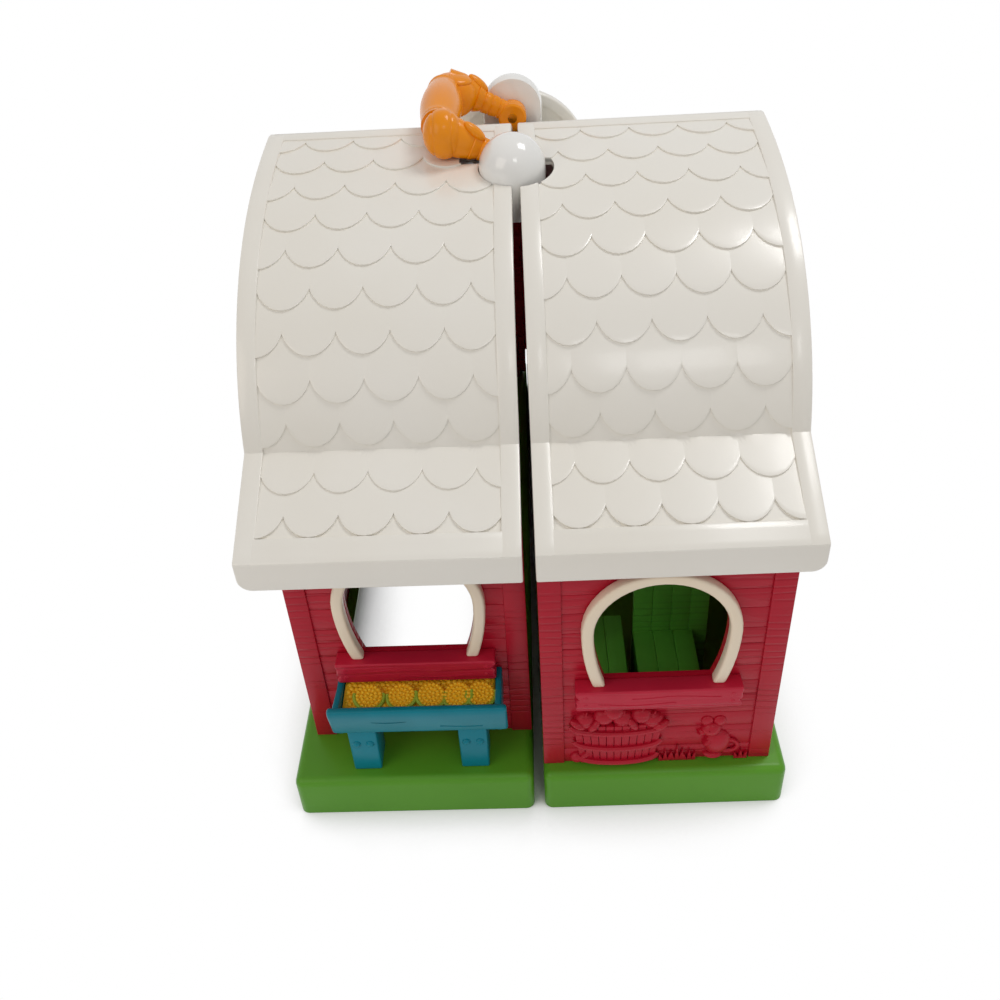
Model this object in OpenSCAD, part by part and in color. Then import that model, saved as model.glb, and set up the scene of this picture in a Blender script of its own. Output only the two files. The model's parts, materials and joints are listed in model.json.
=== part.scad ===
// Toy barn that splits down the middle and opens like a book on a rear hinge.
// X runs along the ridge, -Y is the front, Z is up, sizes are in millimetres.

/* [Whole barn] */
// Length of each half along the ridge
half_x = 100; // [90:1:120]
// Distance from the ridge line to the eave, front and back
eave_y = 165.4; // [155:0.2:175]
// Height of the ridge above the ground
ridge_z = 232.5; // [225:0.5:245]
// Gap left between the two halves when they are shut
split_gap = 0.4; // [0.2:0.1:1]
// How far the right half stands open, in degrees
ajar = 0.7; // [0:0.1:3]
// Wall thickness of the red housings
wall_t = 2.4; // [2:0.1:3.2]
// General clearance between pieces that are seated
seat_gap = 0.3; // [0.2:0.05:0.5]

/* [Roof] */
// Thickness of the roof shell under the shingles
roof_t = 2.2; // [1.8:0.1:3]
// Slope of the roof at the ridge, in degrees
ridge_slope = 4.3; // [3:0.1:8]
// Slope of the rear side at the ridge, steep enough to be out of sight from the front
rear_slope = 21; // [20:0.5:24]
// Slope of the roof just above the kick, in degrees
kick_slope = 73.5; // [70:0.5:76]
// Length of the curved slope from ridge to kick
curve_run = 153.5; // [150:0.5:158]
// How late the curve bends, 1 is an even bend
curve_bend = 1.72; // [1.6:0.02:1.9]
// Slope of the flared eave, in degrees
flare_slope = 24; // [20:0.5:26]
// Height of the upright eave board
fascia_h = 12.6; // [10:0.2:14]
// Width of the raised border on the ends of each roof half
border_w = 7; // [5:0.5:9]
// Height of the raised border over the shingle field
border_h = 0.9; // [0.6:0.1:1.2]
// Width of the raised band along the eave
eave_band = 10; // [7:0.5:13]
// Width of the raised strip along the ridge on each slope
ridge_band = 6; // [4:0.5:8]
// Depth of the stiffening rims under the roof ends
rim_h = 8; // [6:0.5:10]
// Thickness of the stiffening rims
rim_t = 2.2; // [1.8:0.1:3]

/* [Walls] */
// Reach of the roof past the gable walls
gable_in = 7.5; // [6:0.5:9]
// Outer face of the left front wall, from the ridge line
front_left_y = 139.5; // [137:0.5:143]
// Outer face of the right front wall, from the ridge line
front_right_y = 157.5; // [155:0.5:158]
// Outer face of both rear walls, from the ridge line
rear_y = 150; // [146:0.5:153]
// Width of the flat corner posts
post_w = 8.5; // [7:0.5:10]
// How far the corner posts stand proud
post_h = 0.8; // [0.4:0.1:1.2]

/* [Base] */
// Height of the green base
base_h = 21; // [19:0.5:23]
// Half depth of the base
base_y = 165; // [160:0.5:165]
// Radius of the rounded top edges
base_r = 3.5; // [2:0.5:5]
// Width of the ledge that the gable walls stand on
ledge_w = 12; // [11:0.5:14]

/* [Windows] */
// Distance of each window from the middle of its wall, towards the split
window_in = 0.75; // [0:0.25:2]
// Height of the centre of the window arch
window_z = 99.8; // [98:0.2:100]
// Inner radius of the window arch
window_r = 25; // [22:0.5:26]
// Width of the horseshoe frame
frame_w = 4.6; // [3.5:0.1:4.8]
// How far the frame stands out of the wall
frame_d = 5; // [3:0.5:6]
// Height of the top of the window sill
sill_z = 72; // [71:0.5:74]
// Height of the sill plank
sill_h = 10.5; // [8:0.5:10.5]
// Depth of the sill plank
sill_d = 7.5; // [6:0.5:7.5]
// Length of the sill plank
sill_w = 64.6; // [62:0.2:68]

/* [Gable doors] */
// Width of the doorway in each gable
doorway_w = 68; // [60:1:74]
// Height of the top of the doorway
doorway_top = 112; // [100:1:120]
// Thickness of the trim round the doorway
trim_t = 1.6; // [1.2:0.1:2]
// Width of the trim round the doorway
trim_w = 7; // [6:0.5:9]
// Thickness of each door leaf
leaf_t = 2.6; // [2.2:0.1:2.8]
// Radius of the hinge barrel on each leaf
barrel_r = 2.3; // [2.1:0.05:2.4]
// Radius of the door pins
door_pin_r = 1.1; // [0.9:0.05:1.2]

/* [Loft windows] */
// Height of the round loft window in each gable
loft_z = 168; // [160:1:175]
// Radius of the round loft window
loft_r = 15; // [12:0.5:18]

/* [Handle] */
// Distance of each dome from the ridge centre
dome_y = 31; // [29:0.5:34]
// Height of the handle pivots
pivot_z = 226.1; // [225:0.1:227]
// Radius of the domes
dome_r = 12.9; // [12:0.1:14]
// Height of the middle of each dome's ball
dome_z = 228; // [227:0.2:229]
// Distance of the middle of the ball from the flat inner side of the dome
dome_out = 4; // [2:0.5:4]
// How far the round foot of each dome goes down into the roof
dome_foot = 17; // [16:0.5:20]
// Thickness of the handle arms at their eyes
eye_t = 7.4; // [6:0.2:8]
// Radius of the handle eyes
eye_r = 6; // [5:0.25:6.5]
// Radius of the handle pivot pins
pivot_r = 2; // [1.6:0.1:2.4]
// Distance of the grip from the pivots
arm_l = 31.4; // [30.8:0.2:34]
// Angle of the folded handle above level, in degrees
fold_angle = 25.9; // [25.8:0.1:30]
// Radius of the grip in its middle
grip_r = 6.9; // [6.2:0.1:6.9]
// Radius of the ball ends of the handle
ball_r = 6.4; // [5.8:0.1:6.8]
// Radius of the tie rod through the grip
tie_r = 1.6; // [1.2:0.1:2]
// Reach of the roof slot under the folded arms, left of the split
slot_left = 17.8; // [17.8:0.1:20]
// Reach of the roof slot right of the split
slot_right = 9; // [9:0.5:12]
// Depth of the bracket under the handle pivots
bracket_drop = 26.6; // [22:0.2:30]

/* [Dormer] */
// Radius of the arched dormer face on the rear slope
dormer_r = 32; // [29:0.5:33]
// Height of the centre of the dormer arch
dormer_z = 197.5; // [196:0.1:199]
// Where the dormer starts behind the ridge
dormer_y0 = 49.5; // [49:0.5:52]
// Where the dormer ends behind the ridge
dormer_y1 = 54; // [54:0.5:58]
// Depth of its recessed face, on both sides
dormer_in = 1.2; // [0.6:0.1:1.6]
// Width of the rim round the recessed face
dormer_rim = 4.5; // [3:0.5:6]

/* [Trough] */
// Distance of the left end of the trough from the gable
trough_in = 12.5; // [10:0.5:16]
// Right end of the trough, from the split
trough_x1 = 9.3; // [9:0.1:14]
// Height of the bottom of the trough
trough_z = 46.5; // [44:0.5:48]
// Height of the front lip of the trough
trough_lip = 64; // [62:0.5:66]
// Thickness of the trough boards
trough_t = 2.6; // [2:0.1:3.2]
// How far the front board of the trough leans out
trough_lean = 3.5; // [2:0.5:4]
// Width of each trough leg at its top
leg_w = 13; // [11:0.5:15]

/* [Stall] */
// Height of the bench behind the right window
bench_z = 50; // [40:1:60]
// Height of the tall panel at the back of the bench
panel_z = 96; // [80:1:110]
// Where the bench ends, in front of the ridge line
bench_back = 112; // [108:1:125]
// Width of the bench
bench_w = 25.5; // [20:0.5:28]
// Width of the tall panel
panel_w = 32; // [26:0.5:34]
// Width of the feed bin
bin_w = 23; // [16:0.5:24]

/* [Rear hinge] */
// Distance of the hinge axis from the ridge line
hinge_y = 171; // [171:0.5:178]
// Radius of the hinge knuckles
knuckle_r = 4.5; // [4:0.1:4.8]
// Radius of the hinge pin
hinge_pin_r = 2; // [1.6:0.1:2.4]
// Number of knuckles, left and right together
knuckles = 5; // [3:2:7]

/* [Hidden] */

$fn = 64;
fit = 0.05;          // radial clearance of a pin in its bore
x0 = split_gap / 2;  // inner end of each half
big = 600;           // larger than the whole barn

// Roof curve, from the ridge down to the kick
curve_steps = 24;
du = curve_run / curve_steps;
function slope_at(u) = ridge_slope + (kick_slope - ridge_slope) * pow(u / curve_run, curve_bend);
curve = [for (i = 0, y = 0, z = ridge_z; i <= curve_steps;
    y = y + du * cos(slope_at((i + 0.5) * du)),
    z = z - du * sin(slope_at((i + 0.5) * du)),
    i = i + 1) [y, z]];
kick = curve[curve_steps];

// The rear side is one arc from the ridge to the same kick
chord_slope = atan2(ridge_z - kick[1], kick[0]);
rear_kick = 2 * chord_slope - rear_slope;
rear_r = norm([kick[0], ridge_z - kick[1]]) / (2 * sin((rear_kick - rear_slope) / 2));
function rear_at(i) = rear_slope + (rear_kick - rear_slope) * i / curve_steps;
rear_curve = [for (i = [0:curve_steps]) [rear_r * (sin(rear_at(i)) - sin(rear_slope)),
    ridge_z - rear_r * (cos(rear_slope) - cos(rear_at(i)))]];

function side_slope(i, rear) = rear ? rear_at(i) : slope_at(i * du);
function curve_pt(i, off, rear) = let (p = rear ? rear_curve[i] : curve[i], a = side_slope(i, rear))
    [max(0, p[0] - off * sin(a)), p[1] - off * cos(a)];
function kick_pt(off, rear) = let (a = side_slope(curve_steps, rear), mid = (a + flare_slope) / 2)
    kick - off / cos((a - flare_slope) / 2) * [sin(mid), cos(mid)];
function flare_z(y, off) = kick[1] - (y - kick[0]) * tan(flare_slope) - off / cos(flare_slope);
function slope_line(off, y_end, rear) = concat([for (i = [0:curve_steps - 1]) curve_pt(i, off, rear)],
    [kick_pt(off, rear), [y_end, flare_z(y_end, off)]]);
function across(front, rear) = concat([for (i = [len(front) - 1:-1:0]) [-front[i][0], front[i][1]]],
    [for (i = [1:len(rear) - 1]) rear[i]]);
function roof_line(off, y_end) = across(slope_line(off, y_end, false), slope_line(off, y_end, true));
function turned(pts) = [for (i = [len(pts) - 1:-1:0]) pts[i]];

gable_x = half_x - gable_in;    // outer face of the gable walls
window_x = gable_x / 2 - window_in;
skin = border_h + roof_t;       // depth from the borders to the inside of the shell
eave_bottom = flare_z(eave_y, 0) - fascia_h;
eave_in = eave_y - wall_t;      // inner face of the eave board
wall_top_off = skin + seat_gap; // the walls stop this far under the borders

// The window: an arch on two legs that lean in a little
nail_h = 0.3;                        // how far the nail heads stand out of the sill
leg_drop = window_z - sill_z;
leg_lean = 4.6;
function leg_r(r) = (leg_drop * leg_drop + leg_lean * leg_lean) / (2 * leg_lean) + r - window_r;
function leg_pts(r, side) = [for (i = [0:6]) let (a = asin(leg_drop / leg_r(r)) * i / 6)
    [side * (r - leg_r(r) * (1 - cos(a))), -leg_r(r) * sin(a)]];
function arch_pts(r) = concat(turned(leg_pts(r, 1)), [for (i = [1:23]) r * [cos(7.5 * i), sin(7.5 * i)]],
    leg_pts(r, -1));

// Gable door places, measured from the gable face outwards
trim_x = gable_x + trim_t;
barrel_x = trim_x + 0.25 + barrel_r;
leaf_x = trim_x + seat_gap;
door_hinge_y = doorway_w / 2 + 4.2;
door_z0 = base_h + 2.5;
door_z1 = doorway_top + 2;
lug_t = 3;
lug_r = barrel_r + 0.25;

// Handle places
arm_y = dome_y - seat_gap - eye_t / 2;
grip_x = -arm_l * cos(fold_angle);
grip_z = pivot_z + arm_l * sin(fold_angle);
slot_y0 = dome_y - eye_t - 1;
bracket_z = pivot_z - bracket_drop;
bracket_t = 3;

// The trough stands in front of the left wall, with its back under the sill
trough_x0 = gable_x - trough_in;
trough_back = front_left_y + seat_gap;
trough_front = eave_y - 0.9;
trough_foot = trough_front - trough_lean;
trough_inner = trough_z + trough_t;
leg_x = [trough_x0 - 11, trough_x1 + 14.7];
leg_front = trough_foot - 2;
leg_back = leg_front - 14;

// Left end of the moulded picture, which keeps its place under the right sill
picture_x = window_x - sill_w / 2 - 1.7;

// Rear hinge places
hinge_z0 = base_h + 5;
hinge_z1 = eave_bottom - 6;
knuckle_h = (hinge_z1 - hinge_z0) / knuckles;
leaf_end = hinge_y - knuckle_r - 0.6;
leaf_gap = 0.4;
leaf_th = 3;
flange_w = 16;
hinge_screw_x = 10;
hinge_screw_z = [hinge_z0 + 14, (hinge_z0 + hinge_z1) / 2, hinge_z1 - 14];

// Screws
screw_r = 1.4;
screw_head_r = 3;
boss_r = 4;
boss_in = boss_r + wall_t - 0.6;
base_screw_l = 14;
arm_screw = [-6.5, dome_y + 3.6];    // holds a dome stem on the bracket
roof_screw = [-19, 15];              // holds the bracket under the roof
bracket_screw_l = 11;

// The stall stands behind the right window, clear of the wall's screw bosses
stall_front = wall_t + 2 * boss_r - 1.9 - front_right_y;
stall_x = window_x - 4.5;
bin_x = stall_x - 4.5 - bin_w;

// The origin is under the middle of the whole barn as it stands
right_reach = half_x * cos(ajar) + (hinge_y + eave_y) * sin(ajar);
mid_x = (right_reach - half_x) / 2;
mid_y = (hinge_y + knuckle_r - eave_y) / 2;

module place() {
    translate([-mid_x, -mid_y, 0]) children();
}

// Turns a piece of the right half to where it stands ajar
module right_half() {
    place() translate([0, hinge_y, 0]) rotate([0, 0, ajar]) translate([0, -hinge_y, 0]) children();
}

module left_half() {
    place() children();
}

module along_x(from, to) {
    translate([from, 0, 0]) rotate([90, 0, 90]) linear_extrude(to - from) children();
}

module along_y(from, to) {
    translate([0, to, 0]) rotate([90, 0, 0]) linear_extrude(to - from) children();
}

module box(x, y, z) {
    translate([x[0], y[0], z[0]]) cube([x[1] - x[0], y[1] - y[0], z[1] - z[0]]);
}

module rod_x(from, to, r) {
    translate([from, 0, 0]) rotate([0, 90, 0]) cylinder(r = r, h = to - from);
}

module rod_y(from, to, r) {
    translate([0, to, 0]) rotate([90, 0, 0]) cylinder(r = r, h = to - from);
}

// Everything below the roof line that lies off under the borders
module under_roof(off, from, to) {
    along_x(from, to) polygon(concat(roof_line(off, eave_y + 20),
        [[eave_y + 20, -1], [-eave_y - 20, -1]]));
}

// A band of the roof between two depths
module roof_band(off_out, off_in, from, to) {
    along_x(from, to) polygon(concat(roof_line(off_out, eave_y),
        turned(roof_line(off_in, eave_y))));
}

// Roof of the right half, the left one is its mirror image
module roof_half(slot_x, hole_r, slot_more) {
    difference() {
        union() {
            along_x(x0, half_x) polygon(concat(roof_line(border_h, eave_y),
                [[eave_y, eave_bottom], [eave_in, eave_bottom]],
                turned(roof_line(skin, eave_in)),
                [[-eave_in, eave_bottom], [-eave_y, eave_bottom]]));
            roof_band(0, border_h + 0.1, x0, x0 + border_w);
            roof_band(0, border_h + 0.1, half_x - border_w, half_x);
            intersection() {
                roof_band(0, border_h + 0.1, x0, half_x);
                union() {
                    box([x0, half_x], [-ridge_band, ridge_band], [ridge_z - 20, ridge_z + 1]);
                    for (s = [-1, 1]) {
                        y = s * (eave_y - eave_band / 2);
                        box([x0, half_x], [y - eave_band / 2, y + eave_band / 2], [0, ridge_z]);
                    }
                }
            }
            roof_band(skin - 0.1, rim_h, half_x - rim_t, half_x);
            intersection() {
                roof_band(skin - 0.1, rim_h, x0, x0 + rim_t);
                box([0, half_x], [5 - kick[0], kick[0] - 5], [0, ridge_z]);
            }
        }
        dome_flat = dome_y - seat_gap - slot_more;
        for (s = [-1, 1]) {
            y_in = s > 0 ? slot_y0 - slot_more : -(dome_y + 0.2 + slot_more);
            y_out = s > 0 ? dome_y + 0.2 + slot_more : -(slot_y0 - slot_more);
            box([-1, slot_x], [y_in, y_out], [bracket_z + 10, ridge_z + 5]);
            intersection() {
                translate([0, s * (dome_y + dome_out), bracket_z + 10]) cylinder(r = hole_r, h = 60);
                translate([-1, s > 0 ? dome_flat : -dome_flat - big, 0]) cube([big, big, big]);
            }
        }
    }
}

// Tongues under the roof that drop inside the front and rear walls
module roof_tongues(front_y) {
    for (x = [32, 62], s = [-1, 1]) {
        y = (s < 0 ? front_y : rear_y) - wall_t - 0.2;
        z = flare_z(y, skin) + 1.2;
        box([x - 6, x + 6], s < 0 ? [-y, 2 - y] : [y - 2, y], [z - 14, z]);
    }
}

// Walls of one half: front, gable and rear in one moulding
module wall_half(front_y) {
    difference() {
        union() {
            intersection() {
                difference() {
                    box([x0 + 0.2, gable_x], [-front_y, rear_y], [base_h, ridge_z]);
                    box([-1, gable_x - wall_t], [wall_t - front_y, rear_y - wall_t], [0, ridge_z + 1]);
                }
                under_roof(wall_top_off, 0, half_x);
            }
            intersection() {
                for (x = [x0 + 0.2, gable_x - post_w + post_h]) {
                    box([x, x + post_w], [-front_y - post_h, -front_y], [base_h, eave_bottom + 8]);
                    box([x, x + post_w], [rear_y, rear_y + post_h], [base_h, eave_bottom + 8]);
                }
                under_roof(wall_top_off, 0, half_x);
            }
            for (p = boss_places(front_y))
                translate([p[0], p[1], base_h]) cylinder(r = boss_r, h = 30);
            for (z = hinge_screw_z)
                translate([hinge_screw_x, 0, z]) rod_y(rear_y - wall_t - 7, rear_y - 0.5, 3.5);
        }
        translate([window_x, 0, window_z])
            along_y(-front_y - 5, wall_t - front_y + 1) polygon(arch_pts(window_r));
        box([gable_x - 10, gable_x + 5], [-doorway_w / 2, doorway_w / 2], [base_h + 4, doorway_top]);
        translate([0, 0, loft_z]) rod_x(gable_x - 10, gable_x + 5, loft_r);
        for (p = boss_places(front_y))
            translate([p[0], p[1], base_h - 1]) cylinder(r = screw_r + fit, h = base_screw_l + 2);
        for (z = hinge_screw_z)
            translate([hinge_screw_x, 0, z]) rod_y(rear_y - wall_t - 6, rear_y + 2, screw_r + fit);
    }
}

// The screw bosses stand in the four corners and grow out of the walls
function boss_places(front_y) = [for (y = [boss_in - front_y, rear_y - boss_in],
    x = [x0 + 8, gable_x - boss_in]) [x, y]];

// Outline with its two upper corners rounded
module round_top(w0, w1, h, r) {
    polygon(concat([[w0, 0], [w1, 0]],
        [for (i = [0:6]) [w1 - r + r * cos(15 * i), h - r + r * sin(15 * i)]],
        [for (i = [0:6]) [w0 + r - r * sin(15 * i), h - r + r * cos(15 * i)]]));
}

// Green base of one half, open underneath
module base_half(front_y, open_floor) {
    difference() {
        intersection() {
            along_x(x0, half_x) round_top(-base_y, base_y, base_h, base_r);
            along_y(-base_y, base_y) round_top(x0, half_x, base_h, base_r);
        }
        difference() {
            box([x0 + wall_t, half_x - wall_t], [wall_t - base_y, base_y - wall_t],
                [-1, base_h - wall_t]);
            if (open_floor)
                box([x0 + 13, half_x - ledge_w], [boss_y(front_y) - wall_t, -boss_y(rear_y) + wall_t],
                    [-2, base_h]);
        }
        if (open_floor)
            box([x0 + 13 + wall_t, half_x - ledge_w - wall_t],
                [boss_y(front_y), -boss_y(rear_y)], [-1, base_h + 1]);
        for (p = boss_places(front_y))
            translate([p[0], p[1], 0]) cylinder(r = screw_r + 0.2, h = base_h + 1);
    }
}

// Inner edge of the part of the base that carries the wall bosses
function boss_y(y) = boss_in + boss_r + 2 - y;

module base_screws(front_y) {
    for (p = boss_places(front_y)) translate([p[0], p[1], base_h - wall_t]) {
        translate([0, 0, -2]) cylinder(r = screw_head_r, h = 2);
        cylinder(r = screw_r, h = wall_t + base_screw_l);
    }
}

module window_frame(front_y) {
    translate([window_x, 0, window_z]) along_y(-front_y - frame_d, -front_y) difference() {
        polygon(arch_pts(window_r + frame_w));
        polygon(arch_pts(window_r));
        translate([leg_lean - window_r, -leg_drop - 1]) square([2 * (window_r - leg_lean), 1.5]);
    }
}

module sill(front_y) {
    box([window_x - sill_w / 2, window_x + sill_w / 2], [-front_y - sill_d, -front_y],
        [sill_z - sill_h, sill_z]);
    for (s = [-1, 1], k = [0.3, 0.7])
        translate([window_x + s * (sill_w / 2 - 4), 0, sill_z - k * sill_h])
            rod_y(-front_y - sill_d - nail_h, -front_y - sill_d + 1, 0.9);
}

// Arched dormer face of one half, standing on the rear slope
module dormer_half() {
    difference() {
        translate([0, 0, dormer_z]) difference() {
            rod_y(dormer_y0, dormer_y1, dormer_r);
            rod_y(dormer_y0 - 1, dormer_y0 + dormer_in, dormer_r - dormer_rim);
            rod_y(dormer_y1 - dormer_in, dormer_y1 + 1, dormer_r - dormer_rim);
        }
        translate([x0 - big, -big / 2, 0]) cube([big, big, big]);
        under_roof(-0.1, 0, x0 + border_w + 0.2);
        under_roof(border_h - 0.1, x0 + border_w + 0.1, half_x);
    }
}

module gable_trim() {
    difference() {
        union() {
            box([gable_x, trim_x], [-doorway_w / 2 - trim_w, doorway_w / 2 + trim_w],
                [base_h + 0.2, doorway_top + trim_w]);
            for (s = [-1, 1], z = [base_h + 0.2, door_z1 + 0.3]) {
                t = z < doorway_top ? door_z0 - 0.3 - z : lug_t;
                translate([barrel_x, s * door_hinge_y, z]) cylinder(r = lug_r, h = t);
                y = s * door_hinge_y;
                box([gable_x, barrel_x], [y - lug_r, y + lug_r], [z, z + t]);
            }
        }
        box([gable_x - 1, trim_x + 1], [-doorway_w / 2, doorway_w / 2], [base_h - 1, doorway_top]);
        for (s = [-1, 1]) translate([barrel_x, s * door_hinge_y, base_h - 1])
            cylinder(r = door_pin_r + fit, h = doorway_top);
    }
}

module door_pins() {
    for (s = [-1, 1]) translate([barrel_x, s * door_hinge_y, base_h + 0.2])
        cylinder(r = door_pin_r, h = door_z1 + 0.3 + lug_t - base_h - 0.2);
}

// One leaf of the gable doors, hinged on the +Y side
module door_leaf() {
    difference() {
        union() {
            box([leaf_x, leaf_x + leaf_t], [seat_gap / 2 + 0.15, door_hinge_y], [door_z0, door_z1]);
            translate([barrel_x, door_hinge_y, door_z0]) cylinder(r = barrel_r, h = door_z1 - door_z0);
            translate([0, 5, (door_z0 + door_z1) / 2]) rod_x(leaf_x + leaf_t - 0.1, half_x - 0.4, 2.6);
        }
        translate([barrel_x, door_hinge_y, door_z0 - 1])
            cylinder(r = door_pin_r + fit, h = door_z1 - door_z0 + 2);
    }
}

module loft_ring() {
    translate([0, 0, loft_z]) difference() {
        rod_x(gable_x, trim_x, loft_r + 4);
        rod_x(gable_x - 1, trim_x + 1, loft_r);
    }
}

// Hinge leaf of the right half; the left one is its mirror with the other knuckles
module hinge_leaf(first) {
    difference() {
        union() {
            box([leaf_gap, flange_w], [rear_y + post_h, rear_y + post_h + 2.4], [hinge_z0, hinge_z1]);
            box([leaf_gap, leaf_gap + leaf_th], [rear_y + post_h, leaf_end], [hinge_z0, hinge_z1]);
            for (k = [first:2:knuckles - 1]) {
                z = hinge_z0 + k * knuckle_h + 0.2;
                box([leaf_gap, leaf_gap + leaf_th], [leaf_end - 1, hinge_y], [z, z + knuckle_h - 0.4]);
                translate([0, hinge_y, z]) cylinder(r = knuckle_r, h = knuckle_h - 0.4);
            }
        }
        translate([0, hinge_y, 0]) cylinder(r = hinge_pin_r + fit, h = ridge_z);
        for (z = hinge_screw_z)
            translate([hinge_screw_x, 0, z]) rod_y(rear_y - 2, rear_y + 6, screw_r + 0.2);
    }
}

module hinge_screws() {
    head_y = rear_y + post_h + 2.4;
    for (z = hinge_screw_z) translate([hinge_screw_x, 0, z]) {
        rod_y(rear_y - wall_t - 5, head_y, screw_r);
        rod_y(head_y, head_y + 1.8, screw_head_r);
    }
}

// Handle arm on the -Y side: eye, tapered bar and ball end
module handle_arm() {
    difference() {
        union() {
            translate([0, 0, pivot_z]) rod_y(-arm_y - eye_t / 2, -arm_y + eye_t / 2, eye_r);
            translate([0, -arm_y, pivot_z]) rotate([0, fold_angle - 90, 0])
                cylinder(r1 = 3.3, r2 = 4.3, h = arm_l);
            translate([grip_x, -arm_y, grip_z]) rotate([90, 0, 0]) sphere(r = ball_r);
            translate([grip_x, 0, grip_z]) rod_y(-arm_y, -arm_y + ball_r + 0.3, ball_r - 0.6);
        }
        translate([0, 0, pivot_z]) rod_y(-dome_y - 5, 0, pivot_r + fit);
        translate([grip_x, 0, grip_z]) rod_y(-arm_y - 2, 0, tie_r + fit);
    }
}

module handle_grip() {
    half = arm_y - ball_r - 0.4;
    translate([grip_x, 0, grip_z]) rotate([90, 0, 0]) rotate_extrude()
        polygon(concat([[tie_r + fit, half], [tie_r + fit, -half]],
            [for (i = [0:12]) let (t = i / 6 - 1) [ball_r - 0.6 + (grip_r - ball_r + 0.6)
                * cos(90 * t) , t * half]]));
}

// Dome on the -Y side with the stem that stands on the bracket
module dome() {
    difference() {
        union() {
            intersection() {
                translate([0, -dome_y - dome_out, dome_z]) {
                    sphere(r = dome_r);
                    translate([0, 0, -dome_foot]) cylinder(r = dome_r, h = dome_foot);
                }
                box([-20, 20], [-dome_y - 25, -dome_y], [dome_z - 25, dome_z + 20]);
            }
            box([-10, -x0 - 3], [-dome_y - 7, -dome_y - 0.2], [bracket_z + bracket_t, pivot_z]);
        }
        translate([0, 0, pivot_z]) rod_y(-dome_y - 8, 0, pivot_r + 0.02);
        translate([arm_screw[0], -arm_screw[1], bracket_z])
            cylinder(r = screw_r + fit, h = bracket_screw_l + 1);
    }
}

// Bosses that carry the handle bracket under the left roof
module bracket_bosses() {
    z = bracket_z + bracket_t;
    for (s = [-1, 1]) difference() {
        intersection() {
            translate([roof_screw[0], s * roof_screw[1], z]) cylinder(r = boss_r, h = ridge_z - z);
            under_roof(skin - 0.4, -half_x, 0);
        }
        translate([roof_screw[0], s * roof_screw[1], z - 1])
            cylinder(r = screw_r + fit, h = bracket_screw_l);
    }
}

module base_left() {
    color("#5a9a2c") left_half() mirror([1, 0, 0]) base_half(front_left_y, true);
}

module wall_left() {
    color("#a5122c") left_half() mirror([1, 0, 0]) wall_half(front_left_y);
}

module roof_left() {
    color("#efe9dc") left_half() {
        mirror([1, 0, 0]) {
            roof_half(slot_left, dome_r + seat_gap, 0);
            roof_tongues(front_left_y);
        }
        bracket_bosses();
    }
}

module dormer_left() {
    color("#efe9dc") left_half() mirror([1, 0, 0]) dormer_half();
}

module window_frame_left() {
    color("#f0dfc6") left_half() mirror([1, 0, 0]) window_frame(front_left_y);
}

module sill_left() {
    color("#a5122c") left_half() mirror([1, 0, 0]) sill(front_left_y);
}

// The front board of the trough leans out, the back is cut off under the sill
module trough() {
    top = sill_z - sill_h - seat_gap;
    lip_in = trough_t - trough_front;
    color("#12808f") left_half() difference() {
        along_x(-trough_x0, -trough_x1) polygon([[-trough_back, trough_z], [-trough_foot, trough_z],
            [-trough_front, trough_lip], [lip_in, trough_lip],
            [-front_left_y - sill_d - 3, top], [-trough_back, top]]);
        along_x(trough_t - trough_x0, -trough_t - trough_x1) polygon([
            [-trough_back - trough_t, trough_inner], [trough_t - trough_foot, trough_inner],
            [lip_in, trough_lip], [lip_in, sill_z], [-trough_back - trough_t, sill_z]]);
    }
}

// Two tapered blocks with two rivets each
module trough_legs() {
    h = trough_z - base_h;
    color("#12808f") left_half() for (x = leg_x) translate([-x, 0, base_h]) {
        along_y(-leg_front, -leg_back) polygon([[-0.46 * leg_w, 0], [0.46 * leg_w, 0],
            [0.5 * leg_w, h], [-0.5 * leg_w, h]]);
        for (s = [-1, 1]) translate([s * 0.22 * leg_w, 0, 0.72 * h])
            rod_y(-leg_front - 0.6, 1 - leg_front, 1.2);
    }
}

// Heaped corn, a little clear of the trough boards
module corn() {
    g = seat_gap / 2;
    back = trough_back + trough_t + g;
    front = trough_foot - trough_t - g;
    top = sill_z - sill_h - 1;
    color("#e8b21e") left_half() along_x(trough_t + g - trough_x0, -trough_t - g - trough_x1)
        polygon([[-back, trough_inner], [-front, trough_inner], [-front - 1.4, top - 3],
            [-front + 2, top - 1.2], [-back - 5, top], [-back, top]]);
}

module handle_bracket() {
    color("#efe9dc") left_half() difference() {
        box([-24, -x0 - 3], [-dome_y - 9, dome_y + 9], [bracket_z, bracket_z + bracket_t]);
        for (s = [-1, 1], p = [arm_screw, roof_screw])
            translate([p[0], s * p[1], bracket_z - 1]) cylinder(r = screw_r + 0.2, h = bracket_t + 2);
    }
}

module bracket_screws() {
    color("silver") left_half() for (s = [-1, 1], p = [arm_screw, roof_screw])
        translate([p[0], s * p[1], bracket_z]) {
            translate([0, 0, -2]) cylinder(r = screw_head_r, h = 2);
            cylinder(r = screw_r, h = bracket_screw_l);
        }
}

module dome_front() {
    color("white") left_half() dome();
}

module dome_rear() {
    color("white") left_half() mirror([0, 1, 0]) dome();
}

module handle_pins() {
    inner = dome_y - seat_gap - eye_t;
    outer = dome_y + 7.5;
    color("silver") left_half() translate([0, 0, pivot_z]) {
        rod_y(-outer, -inner, pivot_r);
        rod_y(inner, outer, pivot_r);
    }
}

module handle_arm_front() {
    color("#f39a0b") left_half() handle_arm();
}

module handle_arm_rear() {
    color("#f39a0b") left_half() mirror([0, 1, 0]) handle_arm();
}

module handle_grip_bar() {
    color("#f39a0b") left_half() handle_grip();
}

module handle_tie_rod() {
    color("silver") left_half() translate([grip_x, 0, grip_z])
        rod_y(-arm_y - 1.8, arm_y + 1.8, tie_r);
}

module gable_trim_left() {
    color("#f0dfc6") left_half() mirror([1, 0, 0]) gable_trim();
}

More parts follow.
